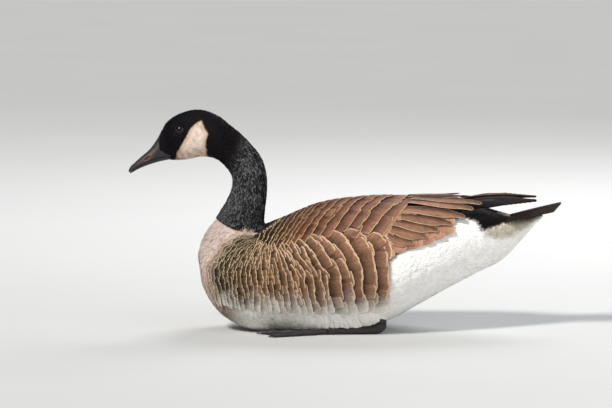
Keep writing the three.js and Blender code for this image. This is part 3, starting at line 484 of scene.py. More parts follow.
def straight(root, tip, rows, bow):
    """Spines of stiff feathers: straight between two points, and raised by the bow times 4 t (1 - t), which
    is highest in the middle."""
    t = np.linspace(0, 1, rows + 1)[None, :, None]
    line = (tip - root)[:, None]
    way = unit(line)
    across = unit(np.cross([0.0, 0.0, 1.0], way))
    normal = np.cross(way, across)
    p = root[:, None] + line * t + normal * bow * 4 * t * (1 - t)
    return p, np.broadcast_to(normal, p.shape), np.broadcast_to(way, p.shape)


def column(value):
    """A number, or one for each feather, shaped to go with the feathers' grids."""
    return np.reshape(value, (-1, 1, 1))


def spread(spines, length, width, cols, lift, tilt, shape, camber, ragged, field=None):
    """Vanes across spines, as grids of points. The shape is the half width's share at the root, its share at
    the tip, and the exponent of the superellipse that ends the vane, whose tip is ragged by a share of the
    half width. Heights go from lift[0] at the root to lift[1] at the tip, plus the tilt times the place
    across, and the camber in the middle; with a field they are over its surface."""
    spine, normal, way = spines
    n, rows = len(spine), spine.shape[1] - 1
    base, end, round_tip = shape
    length = column(np.broadcast_to(length, n))
    half = column(np.broadcast_to(width, n)) / 2
    t = np.linspace(0, 1, rows + 1)[None, :, None]
    s = np.linspace(-1, 1, cols + 1)[None, None, :]
    profile = (base + (1 - base) * smooth(t, 0, 0.4)) * (1 - (1 - end) * smooth(t, 0.55, 1))
    setback = half * end * (1 - (1 - np.abs(s) ** round_tip) ** (1 / round_tip))
    setback = setback + half * ragged * rng.uniform(0, 1, (n, 1, cols + 1))
    along = t * length - setback * t**3
    across = half * profile * s
    share = np.clip(along / length * rows, 0, rows - 1e-6)
    k = share.astype(int)
    f = (share - k)[..., None]
    line = np.arange(n)[:, None, None]
    at, up, ahead = (a[line, k] * (1 - f) + a[line, k + 1] * f for a in (spine, normal, way))
    up = unit(up)
    side = unit(np.cross(up, ahead))
    rise = column(lift[0]) * (1 - along / length) + column(lift[1]) * along / length
    rise = rise + column(tilt) * across / half + camber * (1 - s**2)
    p = at + side * across[..., None]
    if field is None:
        p = p + up * rise[..., None]
    else:
        p, up = onto(field, p, rise, 1)
    p[..., 2] = np.maximum(p[..., 2], FLOOR_GAP["feathers"])
    vane = np.stack([across, along + 0 * across], -1)
    rim = np.stack([half * profile - np.abs(across), length - setback - along], -1)
    return {"points": p, "vane": vane, "rim": rim, "root": spine[:, 0]}


def grown(field, root, way, length, rows, width, *shape):
    """Vanes led over a field's surface from their roots, in a number of rows."""
    return spread(walk(field, root, way, length, rows), length, width, *shape, field)


def overlap_shade(vanes, shown, dark):
    """Painted shade: how light feathers are at each point, full at the tip and darker past the shown length,
    under the next one's tip."""
    return 1 - dark * smooth(vanes["rim"][..., 1] / column(shown), 0.1, 1.05)


def grid_faces(count, rows, cols, start=0, flip=False):
    """Quads of many like grids of points, each (rows + 1) by (cols + 1)."""
    size = (rows + 1) * (cols + 1)
    r, c = np.meshgrid(np.arange(rows), np.arange(cols), indexing="ij")
    a = (r * (cols + 1) + c).reshape(-1)
    quad = np.stack([a, a + cols + 1, a + cols + 2, a + 1], -1)
    if flip:
        quad = quad[:, ::-1]
    return (quad[None] + (start + size * np.arange(count))[:, None, None]).reshape(-1, 4)


def rim_faces(count, rows, cols, top, under):
    """Quads that close the edge between the upper and lower grids of like vanes."""
    size = (rows + 1) * (cols + 1)
    index = np.arange(size).reshape(rows + 1, cols + 1)
    ring = np.concatenate([index[0, :-1], index[:-1, -1], index[-1, :0:-1], index[:0:-1, 0]])
    after = np.roll(ring, -1)
    quad = np.stack([ring + top, after + top, after + under, ring + under], -1)
    return (quad[None] + (size * np.arange(count))[:, None, None]).reshape(-1, 4)


def opaque(colours):
    """Colours with a full alpha, which makes them a mesh's colours and not its vectors."""
    return np.concatenate([colours, np.ones((len(colours), 1))], 1)


def make_mesh(name, points, quads, finish, record_slot, closed=False, **layers):
    """A mesh object from points in mm and quads. A layer holds numbers for each point, or for each corner:
    with two to a point it is a UV map, with three a vector, and with four a colour."""
    mesh = bpy.data.meshes.new(name)
    mesh.vertices.add(len(points))
    mesh.vertices.foreach_set("co", (points * MM).astype(np.float32).reshape(-1))
    corners = quads.reshape(-1)
    mesh.loops.add(len(corners))
    mesh.loops.foreach_set("vertex_index", corners.astype(np.int32))
    mesh.polygons.add(len(quads))
    mesh.polygons.foreach_set("loop_start", np.arange(0, len(corners), 4, dtype=np.int32))
    mesh.update(calc_edges=True)
    mesh.polygons.foreach_set("use_smooth", np.ones(len(quads), bool))
    for key, values in layers.items():
        values = values.astype(np.float32)
        if values.shape[1] == 2:
            values = values if len(values) == len(corners) else values[corners]
            mesh.uv_layers.new(name=key).data.foreach_set("uv", values.reshape(-1))
        else:
            kind, field = {3: ("FLOAT_VECTOR", "vector"), 4: ("FLOAT_COLOR", "color")}[values.shape[1]]
            mesh.attributes.new(key, kind, "POINT").data.foreach_set(field, values.reshape(-1))
    if closed:
        shell = bmesh.new()
        shell.from_mesh(mesh)
        bmesh.ops.remove_doubles(shell, verts=shell.verts, dist=1e-6)
        bmesh.ops.recalc_face_normals(shell, faces=shell.faces)
        shell.to_mesh(mesh)
        shell.free()
    mesh.materials.append(finish)
    made = bpy.data.objects.new(name, mesh)
    bpy.context.scene.collection.objects.link(made)
    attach(made, "root")
    return made


def at_points(colour, p):
    """One colour, one for each feather, or one for each point, as a list for all the points."""
    if np.ndim(colour) < 3:
        colour = np.broadcast_to(colour, (len(p), 3))[:, None, None]
    return np.broadcast_to(colour, p.shape).reshape(-1, 3)


class Coat:
    """Feathers gathered for one mesh, with what the plumage material reads at each point."""

    def __init__(self):
        kinds = ("points", "quads", "OFBake", "vane", "rim", "ground", "fringe", "trim")
        self.parts = {key: [] for key in kinds}
        self.size = 0

    def add(self, vanes, ground, fringe, tip_edge, side_edge=0.0, thick=0.0, shade=1.0):
        """Adds vanes with a ground and a fringe colour for each, or for each point of them, the fringe's
        width in mm at tip and sides, and a painted shade that darkens the ground at each point. With a side
        edge below zero the sides have no fringe, and the tip's fades out over that many mm from them."""
        p = vanes["points"]
        n, rows, cols = p.shape[0], p.shape[1] - 1, p.shape[2] - 1
        size = (rows + 1) * (cols + 1)
        on_neck = is_neck(vanes["root"])
        place = chart_uv(*chart(vanes["root"], on_neck), on_neck)
        t, s = np.meshgrid(np.linspace(-0.5, 0.5, rows + 1), np.linspace(-0.5, 0.5, cols + 1), indexing="ij")
        bake = place[:, None, None] + 0.003 * np.stack([t, s], -1)
        each = np.stack([np.broadcast_to(tip_edge, n), np.broadcast_to(side_edge, n), rng.random(n)], -1)
        tone = np.broadcast_to(shade, (n, rows + 1, cols + 1)).reshape(-1, 1)
        sheets = [(p, False)]
        if thick:
            up = unit(np.cross(np.gradient(p, axis=1), np.gradient(p, axis=2)))
            sheets.append((p - thick * up, True))
            self.parts["quads"].append(rim_faces(n, rows, cols, self.size, self.size + n * size))
        for points, flip in sheets:
            found = {
                "points": points.reshape(-1, 3),
                "quads": grid_faces(n, rows, cols, self.size, flip),
                "OFBake": bake.reshape(-1, 2),
                "vane": vanes["vane"].reshape(-1, 2),
                "rim": vanes["rim"].reshape(-1, 2),
                "ground": opaque(at_points(ground, p) * tone),
                "fringe": opaque(at_points(fringe, p)),
                "trim": np.repeat(each, size, axis=0),
            }
            for key, values in found.items():
                self.parts[key].append(values)
            self.size += n * size

    def make(self, name, record_slot, *replaced):
        """The mesh of all the feathers."""
        whole = {key: np.concatenate(values) for key, values in self.parts.items()}
        made = make_mesh(name, finish=plumage_barbs, record_slot=record_slot, **whole)
        if replaced:
            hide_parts(*replaced)
        return made


def vary(count, share):
    """Random sizes near 1, within a share of it."""
    return rng.uniform(1 - share, 1 + share, count)


def marked(vanes, share):
    """The markings' colour at each point of vanes, each vane a little lighter or darker than the next."""
    points = vanes["points"]
    return markings(points.reshape(-1, 3)).reshape(points.shape) * column(vary(len(points), share))[..., None]


# Materials. A look is a function that gives the inputs of its material's Principled shader. It is handed the
# function that adds a node, and the place of each point in the object's own space. The scale of a pattern
# there is the number of its marks to the mm, over MM.
def fill(tree, made, inputs):
    """Sets a node's inputs, by number or name, or links them where the value is another node's output."""
    for key, value in inputs.items():
        if isinstance(value, bpy.types.NodeSocket):
            tree.links.new(value, made.inputs[key])
        else:
            made.inputs[key].default_value = value


def node(tree, kind, inputs=(), out=0, **settings):
    """Adds a node with its settings and its inputs, in order or by number or name, and returns one of its
    outputs."""
    made = tree.nodes.new("ShaderNode" + kind)
    for key, value in settings.items():
        setattr(made, key, value)
    fill(tree, made, inputs if isinstance(inputs, dict) else dict(enumerate(inputs)))
    return made.outputs[out]


def material(look):
    """The material that a look describes, under the look's own name."""
    made = bpy.data.materials.new(look.__name__)
    made.use_nodes = True
    tree = made.node_tree
    add = functools.partial(node, tree)
    fill(tree, tree.nodes["Principled BSDF"], look(add, add("TexCoord", out="Object")))
    return made


# Settings that come again. SOFT is for a Map Range: a value, its lowest and highest, and what these become,
# or else 0 and 1. MIXED is for a Mix of colours 6 and 7 by the share 0. TONED is the same, where 7 makes 6
# lighter or darker. The rest are sums of a Math node.
SOFT = {"interpolation_type": "SMOOTHSTEP"}
MIXED = {"out": 2, "data_type": "RGBA"}
TONED = {**MIXED, "blend_type": "MULTIPLY"}
TIMES, PLUS, OVER = ({"operation": name} for name in ("MULTIPLY", "ADD", "DIVIDE"))
TIMES_PLUS, LARGER, SIZE = ({"operation": name} for name in ("MULTIPLY_ADD", "MAXIMUM", "ABSOLUTE"))


@material
def plumage_barbs(add, place):
    """Contour and flight feathers: matt keratin barbs either side of a shaft, each vane edged with its fringe
    colour. The slanting barbs give the silky grain and break up the light. Real barbs lie 0.3 mm apart; here
    they are drawn 0.7 mm wide, because finer ones would not show. The vane's and the rim's places are in mm."""
    across, along, _ = add("SeparateXYZ", (add("UVMap", uv_map="vane"),)).node.outputs
    side, tip, _ = add("SeparateXYZ", (add("UVMap", uv_map="rim"),)).node.outputs
    trim = add("Attribute", out="Vector", attribute_name="trim")
    tip_edge, side_edge, seed = add("SeparateXYZ", (trim,)).node.outputs
    off = add("Math", (across,), **SIZE)
    slant = add("Math", (along, -0.3, off), **TIMES_PLUS)
    spot = add("CombineXYZ", (slant, along, seed))
    spot = add("Mapping", {"Vector": spot, "Scale": (1.5, 0.15, 60.0)})
    barbs = add("TexNoise", {"Vector": spot, "Scale": 1.0, "Detail": 2.0})
    wander = add("Math", (barbs, 2.0, -1.0), **TIMES_PLUS)
    edges = []
    for gap, edge, outer, inner in ((tip, tip_edge, 1.6, 0.4), (side, side_edge, 1.4, 0.6)):
        share = add("Math", (gap, add("Math", (edge, 0.01), **LARGER)), **OVER)
        share = add("Math", (share, wander), **PLUS)
        edges.append(add("MapRange", (share, outer, inner), **SOFT))
    fade = add("Math", (add("Math", (side_edge, -1.0), **TIMES), 0.001), **LARGER)
    inside = add("MapRange", (add("Math", (side, fade), **OVER), 0.0, 1.0), **SOFT)
    fringe = add("Math", (add("Math", (edges[0], inside), **TIMES), edges[1]), **LARGER)
    patches = add("TexNoise", {"Vector": place, "Scale": 0.09 / MM, "Detail": 3.0})
    patches = add("MapRange", (patches, 0.3, 0.7, 0.86, 1.12), **SOFT)
    grain = add("MapRange", (barbs, 0.25, 0.75, 0.66, 1.3), **SOFT)
    grain = add("Math", (add("Math", (grain, patches), **TIMES), -1.0), **PLUS)
    ground = add("Attribute", attribute_name="ground")
    # The grain is faint on the white feathers.
    depth = add("MapRange", (add("SeparateXYZ", (ground,)), 0.15, 0.75, 1.0, 0.28), **SOFT)
    tone = add("Math", (grain, depth, 1.0), **TIMES_PLUS)
    colour = {0: fringe, 6: ground, 7: add("Attribute", attribute_name="fringe")}
    colour = add("Mix", {0: 1.0, 6: add("Mix", colour, **MIXED), 7: tone}, **TONED)
    shaft = add("MapRange", (off, 0.1, 0.3, 0.25, 0.0), **SOFT)
    return {
        "Base Color": add("Mix", {0: shaft, 6: colour, 7: rgba("271f19")}, **MIXED),
        "Roughness": 0.62,
        "Specular IOR Level": 0.07,
        "Normal": add("Bump", {"Height": barbs, "Strength": 0.6, "Distance": 0.3 * MM}),
    }


@material
def down_under_coat(add, place):
    """Down close to the skin: the coat's colours, darkened by painted shade and fully matt, so that gaps
    between feathers read as depth. Its tufts are a little over 1 mm across."""
    ground = add("Attribute", attribute_name="ground")
    bright = add("MapRange", (add("SeparateXYZ", (ground,)), 0.15, 0.6, 0.0, 0.35), **SOFT)
    tufts = add("TexNoise", {"Vector": place, "Scale": 0.7 / MM, "Detail": 3.0})
    tufts = add("MapRange", (tufts, 0.3, 0.7, 0.4, 0.6), **SOFT)
    fluff = add("TexNoise", {"Vector": place, "Scale": 0.9 / MM, "Detail": 3.0})
    tone = add("Math", (bright, tufts), **PLUS)
    return {
        "Base Color": add("Mix", {0: 1.0, 6: ground, 7: tone}, **TONED),
        "Roughness": 0.95,
        "Normal": add("Bump", {"Height": fluff, "Strength": 0.8, "Distance": 0.6 * MM}),
    }


@material
def bill_keratin(add, place):
    """Bill horn: satin grey-black keratin, with a painted brown highlight about the nostril. Growth lines 1 mm
    apart run along it, and scuffs 6 mm across make its shine uneven."""
    lengthwise = add("Mapping", {"Vector": place, "Scale": (0.35, 1, 1)})
    lines = add("TexNoise", {"Vector": lengthwise, "Scale": 0.9 / MM, "Detail": 4.0})
    scuffs = add("TexNoise", {"Vector": place, "Scale": 0.16 / MM, "Detail": 3.0})
    scuffs = add("MapRange", (scuffs, 0.35, 0.7, 0.6, 1.35), **SOFT)
    ground = add("Attribute", attribute_name="ground")
    colour = add("Mix", {0: 1.0, 6: ground, 7: scuffs}, **TONED)
    pale = add("MapRange", (lines, 0.55, 0.8, 0.0, 0.5), **SOFT)
    return {
        "Base Color": add("Mix", {0: pale, 6: colour, 7: rgba("5d4f49")}, **MIXED),
        "Roughness": add("MapRange", (lines, 0.3, 0.7, 0.42, 0.58), **SOFT),
        "Normal": add("Bump", {"Height": lines, "Strength": 0.35, "Distance": 0.3 * MM}),
    }


@material
def eye_wet(add, place):
    """Wet eye: black pupil in a dark brown iris under a clear, glossy cornea. The flecks of the iris are
    drawn 0.6 mm across, coarser than life, because finer ones would not show. The radius is in mm from the
    eye's axis."""
    radius = add("Attribute", out="Vector", attribute_name="radius")
    radius = add("SeparateXYZ", (radius,))
    flecks = add("TexNoise", {"Vector": place, "Scale": 1.6 / MM, "Detail": 3.0})
    iris = add("Mix", {0: flecks, 6: rgba("0f0705"), 7: rgba("24130b")}, **MIXED)
    out_of_pupil = add("MapRange", (radius, 2.5, 2.9), **SOFT)
    out_of_iris = add("MapRange", (radius, 4.3, 4.9), **SOFT)
    colour = add("Mix", {0: out_of_pupil, 6: rgba("0a0707"), 7: iris}, **MIXED)
    return {
        "Base Color": add("Mix", {0: out_of_iris, 6: colour, 7: rgba("0d0a07")}, **MIXED),
        "Roughness": 0.12,
        "Specular IOR Level": 0.15,
        "Coat Weight": 0.35,
        "Coat Roughness": 0.02,
    }


@material
def lid_skin(add, place):
    """Bare lid: dark skin in wrinkles 0.7 mm apart, with a thin, dry, pale brown rim."""
    wrinkles = add("TexNoise", {"Vector": place, "Scale": 1.5 / MM, "Detail": 3.0})
    tone = add("MapRange", (wrinkles, 0.3, 0.7, 0.75, 1.15), **SOFT)
    ground = add("Attribute", attribute_name="ground")
    return {
        "Base Color": add("Mix", {0: 1.0, 6: ground, 7: tone}, **TONED),
        "Roughness": 0.8,
        "Specular IOR Level": 0.1,
        "Normal": add("Bump", {"Height": wrinkles, "Strength": 0.5, "Distance": 0.3 * MM}),
    }


@material
def foot_leather(add, place):
    """Foot skin: dull black-brown leather in scales 1.6 mm across, each greyer on its crown and darkened by
    painted shade in the creases."""
    scales = add("TexVoronoi", {"Vector": place, "Scale": 0.62 / MM})
    creases = add("MapRange", (scales, 0.1, 0.6), **SOFT)
    return {
        "Base Color": add("Mix", {0: creases, 6: rgba("3a3532"), 7: rgba("1a1716")}, **MIXED),
        "Roughness": 0.55,
        "Normal": add("Bump", {"Height": scales, "Strength": 0.7, "Distance": 0.5 * MM}, invert=True),
    }


@material
def claw_horn(add, place):
    """Claw: smooth dark horn with a faint lengthwise grain, drawn in streaks 0.8 mm wide, coarser than life."""
    lengthwise = add("Mapping", {"Vector": place, "Scale": (0.3, 1, 1)})
    grain = add("TexNoise", {"Vector": lengthwise, "Scale": 1.2 / MM, "Detail": 3.0})
    return {
        "Base Color": add("Mix", {0: grain, 6: rgba("100d0c"), 7: rgba("2c2421")}, **MIXED),
        "Roughness": 0.35,
        "Normal": add("Bump", {"Height": grain, "Strength": 0.3, "Distance": 0.2 * MM}),
    }


@material
def pale_floor(add, place):
    """Studio floor: matt pale paper with the faintest mottle, a third of a metre across."""
    mottle = add("TexNoise", {"Vector": place, "Scale": 0.003 / MM, "Detail": 3.0})
    return {
        "Base Color": add("Mix", {0: mottle, 6: rgba("c0c2c3"), 7: rgba("c6c7c7")}, **MIXED),
        "Roughness": 0.9,
    }


# The skin: trunk and neck fused by a remesh, then drawn in to lie under the coat.
SKIN_NET = 2.6


def coat_depth(p):
    """How deep the skin lies under the outer surface: thin over the head and neck, thicker on the trunk."""
    return 1.1 + 1.5 * smooth(165 - p[..., 2], 0, 60)


def ring_faces(count, sides, closed):
    """Quads between neighbouring rings of points, and from the last ring to the first if they close up."""
    r, c = np.meshgrid(np.arange(count - (not closed)), np.arange(sides), indexing="ij")
    corners = [(r + i) % count * sides + (c + j) % sides for i, j in ((0, 0), (0, 1), (1, 1), (1, 0))]
    return np.stack(corners, -1).reshape(-1, 4)


def ring_body(rings):
    """Points and quads of a row of rings of points, each end closed over its middle."""
    count, sides = rings.shape[:2]
    ends = [np.repeat(rings[k][None].mean(axis=1, keepdims=True), sides, axis=1) for k in (0, -1)]
    points = np.concatenate([ends[0], rings, ends[1]]).reshape(-1, 3)
    return points, ring_faces(count + 2, sides, False)


def together(bodies):
    """Several bodies' points and quads as one."""
    starts = np.cumsum([0] + [len(p) for p, _ in bodies])
    return np.concatenate([p for p, _ in bodies]), np.concatenate([q + k for (_, q), k in zip(bodies, starts)])


def remeshed(bodies, voxel):
    """Vertices and quads of closed bodies fused by a voxel remesh of the given size in mm."""
    points, quads = together(bodies)
    mesh = bpy.data.meshes.new("fused")
    mesh.from_pydata((points * MM).tolist(), [], quads.tolist())
    made = bpy.data.objects.new("fused", mesh)
    bpy.context.scene.collection.objects.link(made)
    modifier = made.modifiers.new("fuse", "REMESH")
    modifier.mode = "VOXEL"
    modifier.voxel_size = voxel * MM
    result = made.evaluated_get(bpy.context.evaluated_depsgraph_get()).to_mesh()
    co = np.empty(len(result.vertices) * 3, np.float32)
    result.vertices.foreach_get("co", co)
    loops = np.empty(len(result.loops), np.int32)
    result.loops.foreach_get("vertex_index", loops)
    bpy.data.objects.remove(made)
    bpy.data.meshes.remove(mesh)
    return co.reshape(-1, 3).astype(float) / MM, loops.reshape(-1, 4)


def body_shells():
    """The trunk and the head with its neck, as closed ring bodies."""
    turn = np.linspace(0, 2 * math.pi, 96, endpoint=False)[None]
    x = np.concatenate([[-190.6, -190], np.linspace(-188.5, 254, 120), [257]])[:, None]
    u = np.linspace(0, len(NECK) - 1, 110)[:, None]
    return [ring_body(hull(TRUNK, x + 0 * turn, turn + 0 * x)), ring_body(neck(u + 0 * turn, turn + 0 * u))]


def eye_gap(p):
    """Distance of points from the nearer eye's axis, for points of the head."""
    return np.where(p[..., 2] > 235, np.hypot(p[..., 0] - EYE[0], p[..., 2] - EYE[2]), 99)


def make_skin():
    """The skin's mesh under the whole coat, with a socket round each eye and the coat's markings."""
    points, quads = remeshed(body_shells(), SKIN_NET)
    points, normal = onto(BODY, points, -coat_depth(points), 3)
    socket = EYE_SOCKET["deep"] * (1 - smooth(eye_gap(points), *EYE_SOCKET["edge"]))
    points = points - normal * (socket * (np.abs(points[:, 1]) > 6))[:, None]
    points[:, 2] = np.maximum(points[:, 2], FLOOR_GAP["skin"])
    middle = points[quads].mean(axis=1)
    on_neck = is_neck(middle)
    along, turn = chart(points[quads.reshape(-1)], np.repeat(on_neck, 4))
    _, centre = chart(middle, on_neck)
    turn = turn.reshape(-1, 4)
    turn = turn + 2 * math.pi * np.round((centre[:, None] - turn) / (2 * math.pi))
    uv = chart_uv(along, turn.reshape(-1), np.repeat(on_neck, 4))
    layers = {"ground": opaque(markings(points)), "OFBake": uv}
    made = make_mesh("skin", points, quads, down_under_coat, "breast_plumage", **layers)
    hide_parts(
        "head", "cheek_strap", "neck_upper", "neck_middle", "neck_lower", "breast", "back", "belly"
    )
    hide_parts("vent", "rump", "upper_tail_coverts", "flank_left", "flank_right")


make_skin()


# Tufts of the head and neck, in staggered rings from the bill down to the collar: first and last row of the
# rings, mm between rings, mm between tufts round a ring, length and width. The neck's grow longer and wider
# downwards.
HEAD_TUFTS = {"rows": (0.12, 6.2), "pitch": 1.6, "across": 1.4, "long": 4.4, "wide": 2.5}
NECK_TUFTS = {"rows": (5.6, 19), "pitch": 1.7, "across": 1.25, "long": (5.2, 8.4), "wide": (1.4, 1.8)}


def neck_lattice(tufts):
    """Roots and directions of tufts in staggered rings, each a little out of its place."""
    (first, last), pitch = tufts["rows"], tufts["pitch"]
    u = np.linspace(first, last, 400)
    middle = (neck(u, 0 * u) + neck(u, 0 * u + math.pi)) / 2
    length = run_along(middle)
    rings = np.interp(np.arange(0, length[-1], pitch), length, u)
    roots, ways = [], []
    for k, at in enumerate(rings):
        around = np.linspace(0, 2 * math.pi, 65)
        arc = run_along(neck(at + 0 * around, around))
        count = max(12, int(arc[-1] / tufts["across"]))
        angle = np.interp((np.arange(count) + 0.5 * (k % 2)) / count * arc[-1], arc, around)
        angle = angle + rng.normal(0, 0.16, count) * 2 * math.pi / count
        row = at + rng.normal(0, 0.22, count) * pitch * (last - first) / length[-1]
        here = neck(row, angle)
        roots.append(here)
        ways.append(unit(neck(row + 0.15, angle) - here))
    return np.concatenate(roots), np.concatenate(ways)


def head_coat():
    """Short velvet of the head: small overlapping tufts from the bill backwards, clear of the eyes."""
    root, way = neck_lattice(HEAD_TUFTS)
    keep = eye_gap(root) > 5.9
    root, way = root[keep], way[keep]
    n = len(root)
    length = HEAD_TUFTS["long"] * vary(n, 0.25) * (0.7 + 0.3 * smooth(root[:, 0], -240, -200))
    around = eye_gap(root + way * length[:, None])
    away = unit((root - EYE) * [1, 0, 1])
    way = stray(unit(way + away * (1 - smooth(around, 6, 10))[:, None] * 1.3), 0.09)
    tilt = 0.12 * rng.choice([-1, 1], n)
    lift = [-1.0, 0.15 * vary(n, 1)]
    vanes = grown(BODY, root, way, length, 3, HEAD_TUFTS["wide"], 2, lift, tilt, ROUND_TUFT, 0, 0.3)
    ground = marked(vanes, 0.1)
    white = smooth(ground.mean(axis=-1), 0.1, 0.3)
    coat = Coat()
    coat.add(vanes, ground, ground * mix(np.full(3, 1.5), np.full(3, 1.04), white), 0.8, 0.2)
    coat.make("head_coat", "black_plumage")


def neck_coat():
    """The neck's stocking: narrow feathers in furrows, many with painted grey glints on their edges; painted
    sheen greys the low front, and painted shade blackens it just above the rear of the collar."""
    root, way = neck_lattice(NECK_TUFTS)
    gap = collar_gap(root)
    keep = gap < -2
    root, way, gap = root[keep], way[keep], gap[keep]
    low = smooth(215 - root[:, 2], 0, 60)
    n = len(root)
    length = np.interp(low, (0, 1), NECK_TUFTS["long"]) * vary(n, 0.15)
    reach = collar_gap(root + way * length[:, None]) - gap
    length = length * np.clip((0.4 - gap) / np.maximum(reach, 1e-3), 0.1, 1)
    normal = onto(BODY, root)[1]
    way = stray(way + 0.2 * np.cross(normal, way) * wave(root, 9, 14)[:, None], 0.07)
    furrow = wave(root * [1, 1, 0.3], 5.5, 8)
    x, _, z = root.T
    below = np.maximum(smooth(x - 0.33 * (z - 236), -152, -126), smooth(206 - z, 0, 14))
    # Painted glints: random tufts, a few more in the furrows, get grey edges and a greyer ground.
    bright = smooth(rng.random(n) + 0.15 * furrow, 0.3, 1.1) * below * smooth(-gap, 4, 11)
    # Painted sheen on the forward-facing low front of the neck.
    painted_sheen = 0.3 * low * smooth(-normal[:, 0], 0.0, 0.9)
    ground = mix(markings(root) * vary(n, 0.2)[:, None], NECK_GLINT_GREY, 0.09 * bright)
    ground = mix(ground, NECK_PAINTED_SHEEN, painted_sheen)
    # Painted shade blackens the neck just above the rear of the collar.
    ground = mix(ground, HEAD_BLACK, (1 - smooth(-gap, 5, 9)) * smooth(x, -162, -146))
    tilt = 0.3 * rng.choice([-1, 1], n)
    loose = smooth(-gap, 8, 20)
    lift = [-1.2 - 0.8 * low, 0.1 + loose * (0.3 * furrow + 0.2 * rng.random(n))]
    width = np.interp(low, (0, 1), NECK_TUFTS["wide"])
    vanes = grown(BODY, root, way, length, 3, width, 2, lift, tilt, (0.7, 0.5, 2.0), 0, 0.3)
    coat = Coat()
    coat.add(vanes, ground, mix(ground, NECK_GLINT_GREY, (0.6 - 0.15 * low) * bright), 1.3, 0.2)
    coat.make("neck_coat", "black_plumage")


head_coat()
neck_coat()


# Bands of larger feathers: each band is a line of tips across the flank or the back.
FLANK_STEPS = [0, 7, 12.5, 18, 22, 24.4, 25.5, 26.5, 27]  # how many bands lie before each row below
# Top of the band x, z; the point that bows it x, z; its x at the level of greatest width, and low on the
# belly.
FLANK_BANDS = np.array([
    [-124, 127, -166, 122, -180, -168], [-112, 121, -132, 114, -140, -134], [-103, 119, -105, 105, -104, -98],
    [-80, 118, -72, 102, -60, -50], [-54, 124, -38, 104, -22, -12], [-30, 135, 2, 120, 14, 20],
    [-4, 138, 26, 132, 31, 34], [23, 137, 50, 134, 50, 47], [42, 136, 62, 132, 57, 54],
], float)
FLANK_LEVELS = (83.0, 36.0)
BACK_STEPS = [0, 3, 5.5, 8, 10, 12, 14, 15, 16]
# Bands across the back: x at the flank's edge, half way up, and on the midline.
BACK_BANDS = np.array([
    [-116, -108, -100], [-100, -85, -74], [-88, -67, -52], [-75, -48, -28], [-50, -25, -4],
    [-18, 5, 30], [16, 38, 64], [32, 60, 86], [50, 80, 104],
], float)
# Looks at even steps from the first band to the last: width and length of the feathers, the tip's lift and
# exponent, and the fringe's width. Then their set along the line as a share of the width, how far the line
# ripples, how far feathers stray from it as a share of the length that shows, how dark the painted shade makes
# the ground under the next feather, and colours. The sense is the way round the body in which the lines run.
FLANK_LOOK = {
    "bands": 28, "sense": -1, "wide": (8, 11, 16, 22, 28), "long": (15, 20, 26, 32, 38),
    "lift": (0.4, 0.6, 0.9, 1.3, 1.7), "tip": (4, 4, 4, 3.5, 3), "edge": (0.55, 0.6, 0.75, 1.2, 1.9),
    "set": 0.42, "ripple": 2.6, "jitter": 0.08, "dark": 0.76,
    "ground": [(0, BREAST_LOW), (0.05, SIDE_LIGHT), (0.12, SIDE_OLIVE), (0.45, FLANK_MIDDLE), (1, FLANK)],
    "fringe": [(0, BREAST), (0.1, SIDE_LINE), (0.6, FLANK_TIP), (1, FLANK_TIP)],
}
BACK_LOOK = {
    "bands": 17, "sense": 1, "wide": (15, 22, 34), "long": (22, 36, 54),
    "lift": (0.7, 1.1, 1.7), "tip": (4, 4, 3.5), "edge": (0.75, 0.8, 1.1),
    "set": 0.45, "ripple": 1.6, "jitter": 0.06, "dark": 0.75,
    "ground": [(0, BACK_DARK), (0.2, BACK_DARK), (0.55, BACK_BROWN), (1, BACK_REAR)],
    "fringe": [(0, BACK_LINE), (0.5, BACK_TIP), (1, BACK_TIP)],
}


def banded(table, steps, k):
    """The row of a band table for band number k."""
    return np.array([np.interp(k, steps, values) for values in table.T])


def along_line(points, spacing, offset):
    """Places on a line of points at an even spacing, and the line's directions there."""
    length = run_along(points)
    at = np.arange(offset * spacing, length[-1], spacing)
    place, before, after = (
        np.stack([np.interp(at + step, length, points[:, i]) for i in range(3)], -1) for step in (0, -1, 1)
    )
    return place, unit(after - before)


def flank_line(side, k):
    """The line of tips of flank band k, bowed from the shoulder feathers down to the widest level. From there
    to the belly, x moves by the power 1.5 of the share of the way down."""
    top_x, top_z, bow_x, bow_z, mid_x, low_x = banded(FLANK_BANDS, FLANK_STEPS, k)
    mid_z, low_z = FLANK_LEVELS
    t = np.linspace(0, 1, 40)
    low = np.linspace(0, 1, 20)[1:]
    x = np.concatenate([bowed(top_x, bow_x, mid_x, t), mid_x + (low_x - mid_x) * low**1.5])
    z = np.concatenate([bowed(top_z, bow_z, mid_z, t), mid_z + (low_z - mid_z) * low])
    return hull(TRUNK, x, side * angle_at(TRUNK, x, z))


def back_band_line(side, k):
    """The line of tips of back band k, with x bowed from the flank's edge to the midline while the angle goes
    evenly to 0."""
    edge_x, mid_x, top_x = banded(BACK_BANDS, BACK_STEPS, k)
    t = np.linspace(0, 1, 50)
    start = angle_at(TRUNK, edge_x, back_line(edge_x) - 3)
    return hull(TRUNK, bowed(edge_x, mid_x, top_x, t), side * start * (1 - t))


